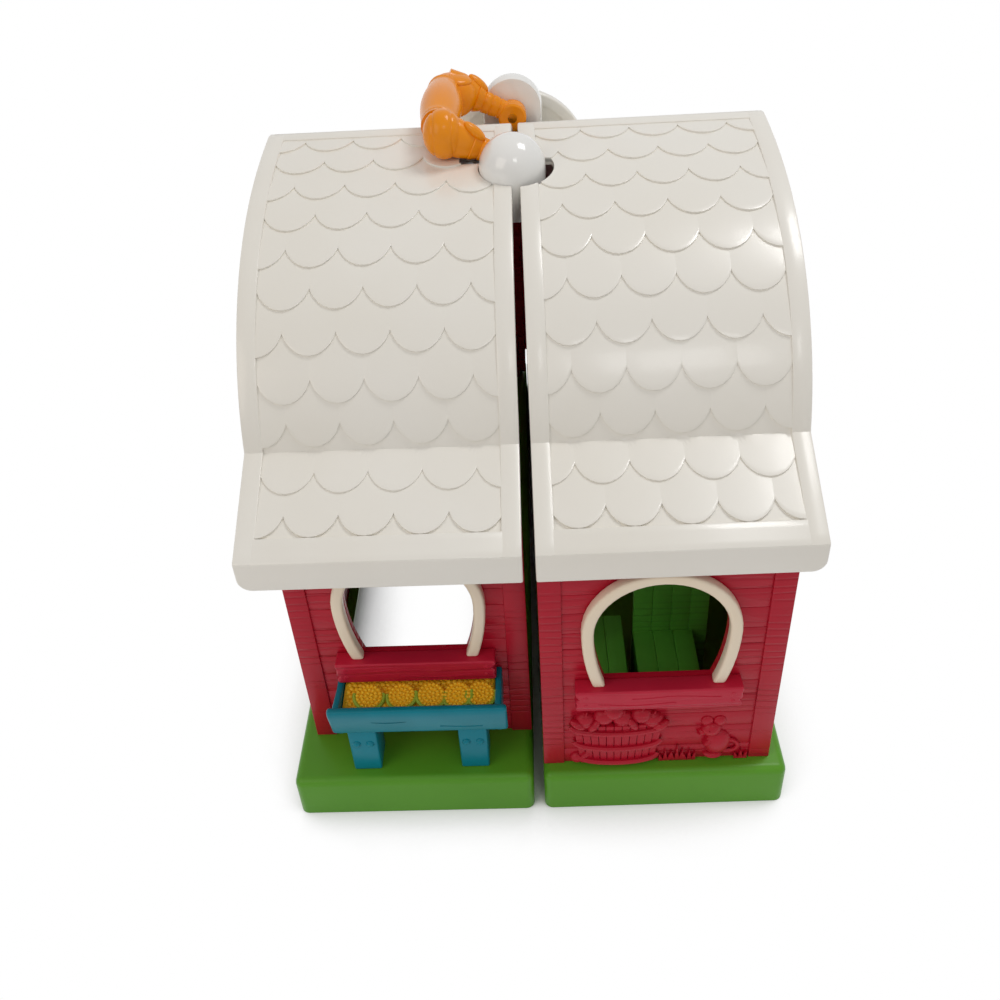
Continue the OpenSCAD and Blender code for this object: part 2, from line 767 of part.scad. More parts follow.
module loft_ring_left() {
    color("#f0dfc6") left_half() mirror([1, 0, 0]) loft_ring();
}

module door_left_front() {
    color("#a5122c") left_half() rotate([0, 0, 180]) door_leaf();
}

module door_left_rear() {
    color("#a5122c") left_half() mirror([1, 0, 0]) door_leaf();
}

module door_pins_left() {
    color("silver") left_half() mirror([1, 0, 0]) door_pins();
}

module base_screws_left() {
    color("silver") left_half() mirror([1, 0, 0]) base_screws(front_left_y);
}

module hinge_leaf_left() {
    color("#a5122c") left_half() mirror([1, 0, 0]) hinge_leaf(0);
}

module hinge_screws_left() {
    color("silver") left_half() mirror([1, 0, 0]) hinge_screws();
}

module hinge_pin() {
    color("silver") left_half() translate([0, hinge_y, 0]) {
        translate([0, 0, hinge_z0]) cylinder(r = hinge_pin_r, h = hinge_z1 - hinge_z0);
        translate([0, 0, hinge_z1]) cylinder(r = 3.4, h = 2);
    }
}

module base_right() {
    color("#5a9a2c") right_half() base_half(front_right_y, false);
}

// Moulded picture on the right wall: a basket of apples, tufts of grass and a field mouse
module relief() {
    b = base_h;
    translate([picture_x, 0.2 - front_right_y, 0]) {
        along_y(-3.2, 0) polygon([[3.1, b + 1], [35.1, b + 1], [38.1, b + 25], [0.1, b + 25]]);
        for (z = [4, 22])
            along_y(-4.2, 0) translate([19.1, b + z]) square([35.4 + z / 6, 2.6], center = true);
        for (k = [0:4]) translate([6.5 + 6.4 * k, 0, b + 27 + 3 * sin(45 * k)]) rod_y(-3.4, 0, 4.6);
        for (k = [0:4]) along_y(-1.6, 0)
            polygon([[38.5 + 3 * k, b + 3], [41.1 + 3 * k, b + 3], [39.8 + 3 * k, b + 9]]);
        translate([59.5, 0, b + 11]) rod_y(-3, 0, 6);
        translate([57.5, 0, b + 20]) rod_y(-3.6, 0, 4.4);
        for (s = [-1, 1]) translate([57.5 + 5 * s, 0, b + 23]) rod_y(-2.6, 0, 2.8);
    }
}

module wall_right() {
    color("#a5122c") right_half() {
        wall_half(front_right_y);
        relief();
    }
}

module roof_right() {
    color("#efe9dc") right_half() {
        roof_half(slot_right, dome_r + 1.1, 0.6);
        roof_tongues(front_right_y);
    }
}

module dormer_right() {
    color("#efe9dc") right_half() dormer_half();
}

module window_frame_right() {
    color("#f0dfc6") right_half() window_frame(front_right_y);
}

module sill_right() {
    color("#a5122c") right_half() sill(front_right_y);
}

// Green furniture behind the right window, open underneath
module stall_box(x, y, top) {
    difference() {
        box(x, y, [base_h, top]);
        box([x[0] + 2, x[1] - 2], [y[0] + 2, y[1] - 2], [base_h - 1, top - 2]);
    }
}

module stall_bench() {
    color("#3f8a2a") right_half() stall_box([stall_x, stall_x + bench_w], [stall_front, -bench_back], bench_z);
}

module stall_panel() {
    color("#3f8a2a") right_half()
        box([stall_x, stall_x + panel_w], [0.2 - bench_back, 0.2 + wall_t - bench_back],
            [base_h, panel_z]);
}

module feed_bin() {
    color("#3f8a2a") right_half() stall_box([bin_x, bin_x + bin_w], [stall_front, 8 - bench_back], bench_z + 2);
}

module gable_trim_right() {
    color("#f0dfc6") right_half() gable_trim();
}

module loft_ring_right() {
    color("#f0dfc6") right_half() loft_ring();
}

module door_right_front() {
    color("#a5122c") right_half() mirror([0, 1, 0]) door_leaf();
}

module door_right_rear() {
    color("#a5122c") right_half() door_leaf();
}

module door_pins_right() {
    color("silver") right_half() door_pins();
}

module base_screws_right() {
    color("silver") right_half() base_screws(front_right_y);
}

module hinge_leaf_right() {
    color("#a5122c") right_half() hinge_leaf(1);
}

module hinge_screws_right() {
    color("silver") right_half() hinge_screws();
}

base_left();
wall_left();
roof_left();
dormer_left();
window_frame_left();
sill_left();
trough();
trough_legs();
corn();
handle_bracket();
dome_front();
dome_rear();
handle_pins();
bracket_screws();
handle_arm_front();
handle_arm_rear();
handle_grip_bar();  // handle_grip
handle_tie_rod();
gable_trim_left();
loft_ring_left();
door_left_front();
door_left_rear();
door_pins_left();
base_screws_left();
hinge_leaf_left();
hinge_screws_left();
hinge_pin();
base_right();
wall_right();
roof_right();
dormer_right();
window_frame_right();
sill_right();
stall_bench();
stall_panel();
feed_bin();
gable_trim_right();
loft_ring_right();
door_right_front();
door_right_rear();
door_pins_right();
base_screws_right();
hinge_leaf_right();
hinge_screws_right();
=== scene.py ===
import json
import math
import random

import bpy
from mathutils import Matrix, Vector


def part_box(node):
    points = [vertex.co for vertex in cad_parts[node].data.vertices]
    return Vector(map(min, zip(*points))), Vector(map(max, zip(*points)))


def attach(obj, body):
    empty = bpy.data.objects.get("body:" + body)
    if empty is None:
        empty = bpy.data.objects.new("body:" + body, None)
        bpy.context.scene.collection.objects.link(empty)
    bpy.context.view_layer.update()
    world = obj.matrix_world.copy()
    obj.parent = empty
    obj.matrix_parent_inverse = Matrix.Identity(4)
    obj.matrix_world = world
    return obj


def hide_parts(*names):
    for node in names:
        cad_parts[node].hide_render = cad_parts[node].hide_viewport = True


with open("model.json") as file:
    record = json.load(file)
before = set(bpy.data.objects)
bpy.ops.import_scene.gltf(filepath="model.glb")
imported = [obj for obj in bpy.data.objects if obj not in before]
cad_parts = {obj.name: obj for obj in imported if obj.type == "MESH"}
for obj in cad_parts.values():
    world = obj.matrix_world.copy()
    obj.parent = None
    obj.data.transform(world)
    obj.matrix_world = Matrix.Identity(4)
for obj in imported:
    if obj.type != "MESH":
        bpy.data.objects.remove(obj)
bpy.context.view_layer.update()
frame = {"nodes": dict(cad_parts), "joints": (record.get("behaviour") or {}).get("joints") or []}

# The barn is modelled in millimetres: X from the split, Y from the ridge line, Z from the ground.
# settle() then takes each piece to its place in the frame, in metres.
MM = 0.001
SPLIT_GAP = 0.2
roof_low, roof_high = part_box("roof_left")
SPLIT_X = roof_high.x + SPLIT_GAP * MM
RIDGE_Y = (roof_low.y + roof_high.y) / 2
HALF_X = (SPLIT_X - roof_low.x) / MM
EAVE_Y = (roof_high.y - roof_low.y) / 2 / MM
RIDGE_Z = roof_high.z / MM
EAVE_BOTTOM = roof_low.z / MM
BASE_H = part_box("base_left")[1].z / MM
BASE_Y = (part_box("base_left")[1].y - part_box("base_left")[0].y) / 2 / MM
GABLE_X = 92.5
REAR_Y = 150.0
FRONT_Y = {"left": 139.5, "right": 157.5}
WALL_T = 2.4
POST_W = 8.5
POST_H = 0.8

barn_hinge = next(j for j in frame["joints"] if j["name"] == "barn_hinge")
HINGE = Vector(barn_hinge["pos_m"])
AJAR = -math.radians(barn_hinge["range_deg"][0])
TURN = Matrix.Translation(HINGE) @ Matrix.Rotation(AJAR, 4, "Z") @ Matrix.Translation(-HINGE)

# Roof curve, by the same rule as the construction
RIDGE_SLOPE = 4.3
REAR_SLOPE = 21.0
KICK_SLOPE = 73.5
CURVE_RUN = 153.5
CURVE_BEND = 1.72
FLARE_SLOPE = 24.0
KICK_BLEND = 1.5
BORDER_W = 7.0
RIDGE_BAND = 6.0
EAVE_BAND = 10.0
RIM_H = 8.0
RIM_T = 2.2
SKIN = 3.1
FIELD_H = -1.3

# Windows
WINDOW_X = 45.5
WINDOW_Z = 99.8
WINDOW_R = 25.0
FRAME_W = 4.6
FRAME_D = 5.0
SILL_Z = 72.0
SILL_H = 10.5
SILL_D = 7.5
SILL_W = 64.6
LEG_LEAN = 4.6

# Handle
DOME_Y = 31.0
PIVOT_Z = 226.1
DOME_R = 12.9
DOME_Z = 228.0
DOME_OUT = 4.0
DOME_FOOT = 17.0
ARM_Y = 27.0
ARM_L = 31.4
FOLD = math.radians(25.9)
BALL_R = 6.4
GRIP_X = -ARM_L * math.cos(FOLD)
GRIP_Z = PIVOT_Z + ARM_L * math.sin(FOLD)


def make_camera():
    """The photograph's camera, in the barn's own millimetres."""
    camera = bpy.data.cameras.new("camera")
    camera.lens = 38.3
    camera.sensor_width = 36.0
    camera.clip_start = 0.01
    camera.clip_end = 20.0
    holder = bpy.data.objects.new("camera", camera)
    bpy.context.scene.collection.objects.link(holder)
    right = Vector((0.9987, 0.0098, -0.0508))
    back = Vector((0.0396, -0.7772, 0.628)).normalized()
    up = back.cross(right).normalized()
    right = up.cross(back)
    turn = Matrix((right, up, back)).transposed().to_4x4()
    place = Vector((7.3, -433.9, 385.8)) * MM + Vector((SPLIT_X, RIDGE_Y, 0))
    holder.matrix_world = Matrix.Translation(place) @ turn
    bpy.context.scene.camera = holder


make_camera()


# Modelling tools

def pick(*objects):
    """Selects these objects alone and makes the first one active."""
    bpy.ops.object.select_all(action="DESELECT")
    for obj in objects:
        obj.select_set(True)
    bpy.context.view_layer.objects.active = objects[0]
    return objects[0]


def tidy_normals(obj):
    pick(obj)
    bpy.ops.object.mode_set(mode="EDIT")
    bpy.ops.mesh.select_all(action="SELECT")
    bpy.ops.mesh.remove_doubles(threshold=0.0005)
    bpy.ops.mesh.normals_make_consistent(inside=False)
    bpy.ops.object.mode_set(mode="OBJECT")
    return obj


def soften(obj, width, segments=2, angle=30):
    """Rounds every edge sharper than the angle."""
    pick(obj)
    bevel = obj.modifiers.new("soft_edges", "BEVEL")
    bevel.width = width
    bevel.segments = segments
    bevel.limit_method = "ANGLE"
    bevel.angle_limit = math.radians(angle)
    bevel.harden_normals = False
    bpy.ops.object.modifier_apply(modifier=bevel.name)
    return obj


def block(x, y, z, edge=0.0, segments=2):
    """A box between two values on each axis, with rounded edges."""
    low, high = Vector((x[0], y[0], z[0])), Vector((x[1], y[1], z[1]))
    bpy.ops.object.select_all(action="DESELECT")
    bpy.ops.mesh.primitive_cube_add(size=1, location=(low + high) / 2, scale=high - low)
    bpy.ops.object.transform_apply(location=True, rotation=True, scale=True)
    obj = bpy.context.active_object
    return soften(obj, edge, segments) if edge else obj


def plate(points, axis, start, end, edge=0.0, segments=2):
    """An outline raised along an axis. Points are (x, z) for Y, (y, z) for X and (x, y) for Z."""
    bpy.ops.object.select_all(action="DESELECT")
    bpy.ops.mesh.primitive_circle_add(vertices=len(points), fill_type="NGON")
    obj = bpy.context.active_object
    along = "XYZ".index(axis)
    for vertex, point in zip(obj.data.vertices, points):
        vertex.co = (*point[:along], start, *point[along:])
    way = [float(i == along) for i in range(3)]
    bpy.ops.object.mode_set(mode="EDIT")
    bpy.ops.mesh.select_all(action="SELECT")
    bpy.ops.mesh.extrude_region_move(TRANSFORM_OT_translate={"value": Vector(way) * (end - start)})
    bpy.ops.mesh.select_all(action="SELECT")
    bpy.ops.mesh.normals_make_consistent(inside=False)
    bpy.ops.object.mode_set(mode="OBJECT")
    return soften(obj, edge, segments) if edge else obj


def lathe(profile, steps=32, ring=False):
    """Spins (radius, height) points about Z.

    A solid's points start and end on the axis, and a ring's are closed.
    """
    bpy.ops.object.select_all(action="DESELECT")
    bpy.ops.mesh.primitive_circle_add(vertices=len(profile), fill_type="NOTHING")
    obj = bpy.context.active_object
    for vertex, (radius, height) in zip(obj.data.vertices, profile):
        vertex.co = (radius, 0, height)
    bpy.ops.object.mode_set(mode="EDIT")
    bpy.ops.mesh.select_mode(type="EDGE")
    bpy.ops.mesh.select_all(action="DESELECT")
    if not ring:
        bpy.ops.object.mode_set(mode="OBJECT")
        for edge in obj.data.edges:
            edge.select = set(edge.vertices) == {0, len(profile) - 1}
        bpy.ops.object.mode_set(mode="EDIT")
        bpy.ops.mesh.delete(type="EDGE")
    bpy.ops.mesh.select_mode(type="VERT")
    bpy.ops.mesh.select_all(action="SELECT")
    bpy.ops.mesh.spin(steps=steps, angle=2 * math.pi, center=(0, 0, 0), axis=(0, 0, 1))
    bpy.ops.mesh.select_all(action="SELECT")
    bpy.ops.mesh.remove_doubles(threshold=0.002)
    bpy.ops.mesh.normals_make_consistent(inside=False)
    bpy.ops.object.mode_set(mode="OBJECT")
    return obj


def arc_steps(start, end, step):
    """Angles in radians from start to end, given in degrees."""
    return [math.radians(start + step * i) for i in range(round((end - start) / step) + 1)]


def drum(radius, low, high, steps=28):
    """A plain cylinder round Z."""
    return lathe([(0, low), (radius, low), (radius, high), (0, high)], steps)


def ball(centre, radii, segments=24, rings=14):
    """An ellipsoid."""
    bpy.ops.object.select_all(action="DESELECT")
    bpy.ops.mesh.primitive_uv_sphere_add(segments=segments, ring_count=rings, location=centre, scale=radii)
    bpy.ops.object.transform_apply(location=True, rotation=True, scale=True)
    return bpy.context.active_object


def shift(x, y, z):
    return Matrix.Translation((x, y, z))


def tilt(degrees, axis):
    return Matrix.Rotation(math.radians(degrees), 4, axis)


def moved(obj, matrix):
    obj.data.transform(matrix)
    return obj


def twin(obj):
    """A copy with its own mesh."""
    copy = obj.copy()
    copy.data = obj.data.copy()
    bpy.context.scene.collection.objects.link(copy)
    return copy


def mirrored(obj, axis):
    obj.data.transform(Matrix.Scale(-1, 4, axis))
    obj.data.flip_normals()
    return obj


def sliced(obj, point, way):
    """Keeps the part of a closed piece behind a plane, and closes the cut."""
    pick(obj)
    bpy.ops.object.mode_set(mode="EDIT")
    bpy.ops.mesh.select_all(action="SELECT")
    bpy.ops.mesh.bisect(plane_co=point, plane_no=way, clear_outer=True, use_fill=True)
    bpy.ops.mesh.select_all(action="SELECT")
    bpy.ops.mesh.normals_make_consistent(inside=False)
    bpy.ops.object.mode_set(mode="OBJECT")
    return obj


def stroke(points, radius, sides=8):
    """A round bar along a line of points."""
    curve = bpy.data.curves.new("stroke", "CURVE")
    curve.dimensions = "3D"
    curve.bevel_depth = radius
    curve.bevel_resolution = sides // 4
    curve.use_fill_caps = True
    line = curve.splines.new("POLY")
    line.points.add(len(points) - 1)
    for point, place in zip(line.points, points):
        point.co = (*place, 1)
    obj = bpy.data.objects.new("stroke", curve)
    bpy.context.scene.collection.objects.link(obj)
    pick(obj)
    bpy.ops.object.convert(target="MESH")
    return tidy_normals(bpy.context.active_object)


def cut(obj, *cutters):
    """Cuts shapes out of a piece."""
    for cutter in cutters:
        pick(obj)
        boolean = obj.modifiers.new("cut", "BOOLEAN")
        boolean.operation = "DIFFERENCE"
        boolean.solver = "EXACT"
        boolean.object = cutter
        bpy.ops.object.modifier_apply(modifier=boolean.name)
        bpy.data.objects.remove(cutter)
    return obj


def joined(parts):
    pick(*parts)
    if len(parts) > 1:
        bpy.ops.object.join()
    return bpy.context.active_object


def settle(obj, side, flip=True):
    """Takes a piece made for the right half to its half and into the frame, in metres."""
    if side == "left" and flip:
        mirrored(obj, (1, 0, 0))
    place = shift(SPLIT_X, RIDGE_Y, 0) @ Matrix.Scale(MM, 4)
    obj.data.transform(TURN @ place if side == "right" else place)
    return obj


def finish(obj, name, body, material, replaces=(), angle=40):
    """Names a piece, shades it smooth, dresses it and fastens it to its body."""
    obj.name = obj.data.name = name
    obj.data.materials.clear()
    obj.data.materials.append(material)
    for polygon in obj.data.polygons:
        polygon.material_index = 0
    pick(obj)
    bpy.ops.object.shade_smooth_by_angle(angle=math.radians(angle))
    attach(obj, body)
    if replaces:
        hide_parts(*replaces)
    return obj


def finish_half(obj, side, name, material, node, angle=40):
    """Settles and finishes a piece that both halves have, in place of the node of that half."""
    settle(obj, side)
    return finish(obj, f"{name}_{side}", f"{side}_half", material, [f"{node}_{side}"], angle)


# Materials

def linear(hex_colour):
    """The colour value that a hex code such as "a5122c" stands for."""
    parts = [int(hex_colour[i:i + 2], 16) / 255 for i in (0, 2, 4)]
    return tuple(c / 12.92 if c <= 0.04045 else ((c + 0.055) / 1.055) ** 2.4 for c in parts) + (1.0,)


def new_group(name, **outputs):
    """A node group with Coordinates, Scale and Amount going in."""
    group = bpy.data.node_groups.new(name, "ShaderNodeTree")
    group.interface.new_socket("Coordinates", in_out="INPUT", socket_type="NodeSocketVector")
    group.interface.new_socket("Scale", in_out="INPUT", socket_type="NodeSocketFloat")
    group.interface.new_socket("Amount", in_out="INPUT", socket_type="NodeSocketFloat")
    for output, kind in outputs.items():
        group.interface.new_socket(output, in_out="OUTPUT", socket_type=kind)
    return group, group.nodes.new("NodeGroupInput"), group.nodes.new("NodeGroupOutput")


def make_drift_group():
    """Slow, cloudy change from one place to another, and a fine speckle."""
    group, given, out = new_group("surface drift", Cloud="NodeSocketFloat", Normal="NodeSocketVector")
    cloud = group.nodes.new("ShaderNodeTexNoise")
    cloud.inputs["Detail"].default_value = 3
    fine = group.nodes.new("ShaderNodeTexNoise")
    finer = group.nodes.new("ShaderNodeMath")
    finer.operation = "MULTIPLY"
    finer.inputs[1].default_value = 11
    bump = group.nodes.new("ShaderNodeBump")
    bump.inputs["Distance"].default_value = 0.0002
    link = group.links.new
    link(given.outputs["Coordinates"], cloud.inputs["Vector"])
    link(given.outputs["Scale"], cloud.inputs["Scale"])
    link(given.outputs["Scale"], finer.inputs[0])
    link(given.outputs["Coordinates"], fine.inputs["Vector"])
    link(finer.outputs[0], fine.inputs["Scale"])
    link(fine.outputs["Fac"], bump.inputs["Height"])
    link(given.outputs["Amount"], bump.inputs["Strength"])
    link(cloud.outputs["Fac"], out.inputs["Cloud"])
    link(bump.outputs["Normal"], out.inputs["Normal"])
    return group


def make_grain_group():
    """Thin wavy grain lines that run along X and Y, pressed into the surface."""
    group, given, out = new_group("moulded grain", Lines="NodeSocketFloat", Normal="NodeSocketVector")
    stretch = group.nodes.new("ShaderNodeMapping")
    stretch.inputs["Scale"].default_value = (0.22, 0.22, 1)
    wave = group.nodes.new("ShaderNodeTexWave")
    wave.bands_direction = "Z"
    wave.inputs["Distortion"].default_value = 5
    wave.inputs["Detail"].default_value = 2
    wave.inputs["Detail Scale"].default_value = 0.9
    thin = group.nodes.new("ShaderNodeMapRange")
    thin.inputs["From Min"].default_value = 0.0
    thin.inputs["From Max"].default_value = 0.3
    patches = group.nodes.new("ShaderNodeTexNoise")
    patches.inputs["Scale"].default_value = 60
    here = group.nodes.new("ShaderNodeMapRange")
    here.inputs["From Min"].default_value = 0.45
    here.inputs["From Max"].default_value = 0.6
    both = group.nodes.new("ShaderNodeMath")
    both.operation = "MAXIMUM"
    bump = group.nodes.new("ShaderNodeBump")
    bump.inputs["Distance"].default_value = 0.0004
    link = group.links.new
    link(given.outputs["Coordinates"], stretch.inputs["Vector"])
    link(stretch.outputs["Vector"], wave.inputs["Vector"])
    link(stretch.outputs["Vector"], patches.inputs["Vector"])
    link(given.outputs["Scale"], wave.inputs["Scale"])
    link(wave.outputs["Fac"], thin.inputs["Value"])
    link(patches.outputs["Fac"], here.inputs["Value"])
    link(thin.outputs["Result"], both.inputs[0])
    link(here.outputs["Result"], both.inputs[1])
    link(both.outputs[0], bump.inputs["Height"])
    link(given.outputs["Amount"], bump.inputs["Strength"])
    link(both.outputs[0], out.inputs["Lines"])
    link(bump.outputs["Normal"], out.inputs["Normal"])
    return group


DRIFT = make_drift_group()
GRAIN = make_grain_group()


def make_material(name, light, dark, roughness, drift=40, speckle=0.15, grain=0.0, metal=0.0, coat=0.0,
                  shine=0.5):
    """Moulded plastic or metal whose colour drifts a little between two hex colours."""
    material = bpy.data.materials.new(name)
    material.use_nodes = True
    nodes, link = material.node_tree.nodes, material.node_tree.links.new
    surface = nodes["Principled BSDF"]
    surface.inputs["Metallic"].default_value = metal
    surface.inputs["Coat Weight"].default_value = coat
    surface.inputs["Specular IOR Level"].default_value = shine
    surface.inputs["Coat Roughness"].default_value = 0.12
    place = nodes.new("ShaderNodeTexCoord")
    wander = nodes.new("ShaderNodeGroup")
    wander.node_tree = DRIFT
    wander.inputs["Scale"].default_value = drift
    wander.inputs["Amount"].default_value = speckle
    link(place.outputs["Object"], wander.inputs["Coordinates"])
    colour = nodes.new("ShaderNodeMix")
    colour.data_type = "RGBA"
    colour.inputs["A"].default_value = linear(light)
    colour.inputs["B"].default_value = linear(dark)
    link(wander.outputs["Cloud"], colour.inputs["Factor"])
    rough = nodes.new("ShaderNodeMapRange")
    rough.inputs["To Min"].default_value = roughness - 0.06
    rough.inputs["To Max"].default_value = roughness + 0.06
    link(wander.outputs["Cloud"], rough.inputs["Value"])
    link(rough.outputs["Result"], surface.inputs["Roughness"])
    link(colour.outputs["Result"], surface.inputs["Base Color"])
    link(wander.outputs["Normal"], surface.inputs["Normal"])
    if grain:
        lines = nodes.new("ShaderNodeGroup")
        lines.node_tree = GRAIN
        lines.inputs["Scale"].default_value = 85
        lines.inputs["Amount"].default_value = grain
        link(place.outputs["Object"], lines.inputs["Coordinates"])
        link(lines.outputs["Normal"], surface.inputs["Normal"])
        worn = nodes.new("ShaderNodeMix")
        worn.data_type = "RGBA"
        worn.blend_type = "MULTIPLY"
        worn.inputs["B"].default_value = (0.8, 0.8, 0.8, 1)
        depth = nodes.new("ShaderNodeMapRange")
        depth.inputs["To Min"].default_value = 0.6
        depth.inputs["To Max"].default_value = 0.0
        link(lines.outputs["Lines"], depth.inputs["Value"])
        link(depth.outputs["Result"], worn.inputs["Factor"])
        link(colour.outputs["Result"], worn.inputs["A"])
        link(worn.outputs["Result"], surface.inputs["Base Color"])
    return material


cream = make_material("roof cream", "f4f1ea", "ece7dc", 0.3, drift=18, speckle=0.05, coat=0.3)
red = make_material("barn red", "c2162f", "aa122a", 0.36, drift=30, grain=0.45, shine=0.25)
sill_red = make_material("sill red", "cc2440", "b81b36", 0.36, drift=60, grain=0.5, shine=0.25)
trim_cream = make_material("frame cream", "f8ead4", "f2dfc4", 0.36, drift=30)
green = make_material("base green", "62a52a", "579724", 0.34, drift=25, shine=0.25)
teal = make_material("trough teal", "0a8a9e", "077788", 0.3, drift=50, shine=0.2)
corn_yellow = make_material("corn yellow", "ffd030", "f0b41c", 0.35, drift=120, shine=0.3)
husk_green = make_material("husk green", "a9bf3a", "86a52e", 0.4, drift=80, shine=0.3)
white = make_material("dome white", "f7f6f3", "efeeea", 0.14, drift=20, speckle=0.02, coat=0.6)
orange = make_material("handle orange", "f79a04", "f08c02", 0.22, drift=30, speckle=0.03, shine=0.3)
stall_green = make_material("stall green", "6cc047", "58aa36", 0.38, drift=45, grain=0.3, shine=0.3)
steel = make_material("steel", "d4d5d8", "bfc1c5", 0.28, drift=90, metal=1.0)


# Roof

def slope_at(u):
    return math.radians(RIDGE_SLOPE + (KICK_SLOPE - RIDGE_SLOPE) * (u / CURVE_RUN) ** CURVE_BEND)


def roof_curve(steps=96):
    """Places (y, z) of the front slope's curve, at even steps from the ridge to the kick."""
    step = CURVE_RUN / steps
    points = [(0.0, RIDGE_Z)]
    for i in range(steps):
        slope = slope_at((i + 0.5) * step)
        points.append((points[-1][0] + step * math.cos(slope), points[-1][1] - step * math.sin(slope)))
    return points


CURVE = roof_curve()
FLARE = math.radians(FLARE_SLOPE)
EAVE_U = CURVE_RUN + (EAVE_Y - CURVE[-1][0]) / math.cos(FLARE)
KICK_Y, KICK_Z = CURVE[-1]
REAR_START = math.radians(REAR_SLOPE)
REAR_END = 2 * math.atan2(RIDGE_Z - KICK_Z, KICK_Y) - REAR_START
REAR_R = math.hypot(KICK_Y, RIDGE_Z - KICK_Z) / (2 * math.sin((REAR_END - REAR_START) / 2))


def above_kick(run, rear):
    """Place (y, z) and slope at a distance from the ridge, above the kick. The rear side is one arc."""
    if rear:
        slope = REAR_START + (REAR_END - REAR_START) * run / CURVE_RUN
        return (REAR_R * (math.sin(slope) - math.sin(REAR_START)),
                RIDGE_Z - REAR_R * (math.cos(REAR_START) - math.cos(slope)), slope)
    step = run / CURVE_RUN * (len(CURVE) - 1)
    i = int(step)
    y = CURVE[i][0] + (step - i) * (CURVE[i + 1][0] - CURVE[i][0])
    z = CURVE[i][1] + (step - i) * (CURVE[i + 1][1] - CURVE[i][1])
    return y, z, slope_at(run)


def roof_point(u, h):
    """The place (y, z) at distance u down the rear slope, or -u down the front, and h over the borders."""
    run, rear = abs(u), u > 0
    if run < 0.01:
        slope = (REAR_START - math.radians(RIDGE_SLOPE)) / 2
        return h * math.sin(slope), RIDGE_Z + h * math.cos(slope)
    if abs(run - CURVE_RUN) < KICK_BLEND:
        half = ((REAR_END if rear else math.radians(KICK_SLOPE)) - FLARE) / 2
        y, z, slope, h = KICK_Y, KICK_Z, FLARE + half, h / math.cos(half)
    elif run < CURVE_RUN:
        y, z, slope = above_kick(run, rear)
    else:
        beyond, slope = run - CURVE_RUN, FLARE
        y, z = KICK_Y + beyond * math.cos(FLARE), KICK_Z - beyond * math.sin(FLARE)
    y += h * math.sin(slope)
    return (y if rear else -y), z + h * math.cos(slope)


def bend_to_roof(obj):
    """Lays a piece made flat, as (x, u, h), onto the roof's curve."""
    for vertex in obj.data.vertices:
        x, u, h = vertex.co
        vertex.co = (x, *roof_point(u, h))
    return obj


def divide_along(obj, axis, pieces):
    """Cuts the long edges along an axis into equal pieces."""
    pick(obj)
    bpy.ops.object.mode_set(mode="EDIT")
    bpy.ops.mesh.select_mode(type="EDGE")
    bpy.ops.mesh.select_all(action="DESELECT")
    bpy.ops.object.mode_set(mode="OBJECT")
    points = obj.data.vertices
    spans = [abs((points[e.vertices[0]].co - points[e.vertices[1]].co)[axis]) for e in obj.data.edges]
    for edge, span in zip(obj.data.edges, spans):
        edge.select = span > max(spans) / 2
    bpy.ops.object.mode_set(mode="EDIT")
    bpy.ops.mesh.subdivide(number_cuts=pieces - 1)
    bpy.ops.mesh.select_mode(type="VERT")
    bpy.ops.object.mode_set(mode="OBJECT")
    return obj


def roof_strip(section, u0, u1, edge=0.0):
    """A strip of the roof with this (x, h) section, from u0 to u1 down the slope."""
    strip = plate(section, "Y", u0, u1, edge, 2)
    return bend_to_roof(divide_along(strip, 1, 2 * round(abs(u1 - u0) / 4.6)))


def strip_section(x0, x1, h0, h1):
    return [(x0, h0), (x1, h0), (x1, h1), (x0, h1)]


def flat_shingle(half_width, length=30.0, depth=13.5, columns=14, rows=12):
    """One flat shingle. Its rounded lower end is at u = 0, and its upper end goes under the next row."""
    top_h, bottom_h = -1.25, -0.12
    bpy.ops.object.select_all(action="DESELECT")
    bpy.ops.mesh.primitive_grid_add(x_subdivisions=columns, y_subdivisions=rows, size=2)
    tile = bpy.context.active_object
    for vertex in tile.data.vertices:
        across = math.sin(vertex.co.x * math.pi / 2)
        up = (1 - vertex.co.y) / 2
        end = -depth * (1 - math.sqrt(max(0.0, 1 - across * across)))
        u = end + up * (-length - end)
        crown = -0.16 * across * across
        vertex.co = (half_width * across, u, bottom_h + (top_h - bottom_h) * -u / length + crown)
    bpy.ops.object.mode_set(mode="EDIT")
    bpy.ops.mesh.select_all(action="SELECT")
    bpy.ops.mesh.extrude_region_move(TRANSFORM_OT_translate={"value": (0, 0, -1.2)})
    bpy.ops.mesh.select_all(action="SELECT")
    bpy.ops.mesh.normals_make_consistent(inside=False)
    bpy.ops.object.mode_set(mode="OBJECT")
    return soften(tile, 0.34, 3, 50)


SHINGLE_STEP = 19.46
ROW_PITCH = 17.13
FIRST_ROW = 16.4
ROWS_ABOVE_KICK = 9
ROWS_BELOW_KICK = 2
DOME_ROWS = (1, 2, 3)


def row_end(row):
    """How far down the slope the lower ends of a row lie."""
    if row < ROWS_ABOVE_KICK:
        return min(FIRST_ROW + row * ROW_PITCH, CURVE_RUN - KICK_BLEND)
    return CURVE_RUN + (row - ROWS_ABOVE_KICK + 1) * (EAVE_U - EAVE_BAND - CURVE_RUN) / ROWS_BELOW_KICK


def dome_cutters(side):
    """The roof's hole round each dome and its slot for the folded handle."""
    reach, radius, more = (20.5, DOME_R + 0.3, 0.0) if side == "left" else (9.0, DOME_R + 0.8, 0.6)
    low = RIDGE_Z - 30
    for way in (-1, 1):
        hole = moved(drum(radius, low, low + 50, 56), shift(0, DOME_Y + DOME_OUT, 0))
        sliced(hole, (0, DOME_Y - 0.3 - more, 0), (0, -1, 0))
        slot = block((-5, reach), (DOME_Y - 8.4 - more, DOME_Y + 0.2 + more), (low, low + 50))
        for cutter in (hole, slot):
            yield cutter if way > 0 else mirrored(cutter, (0, 1, 0))


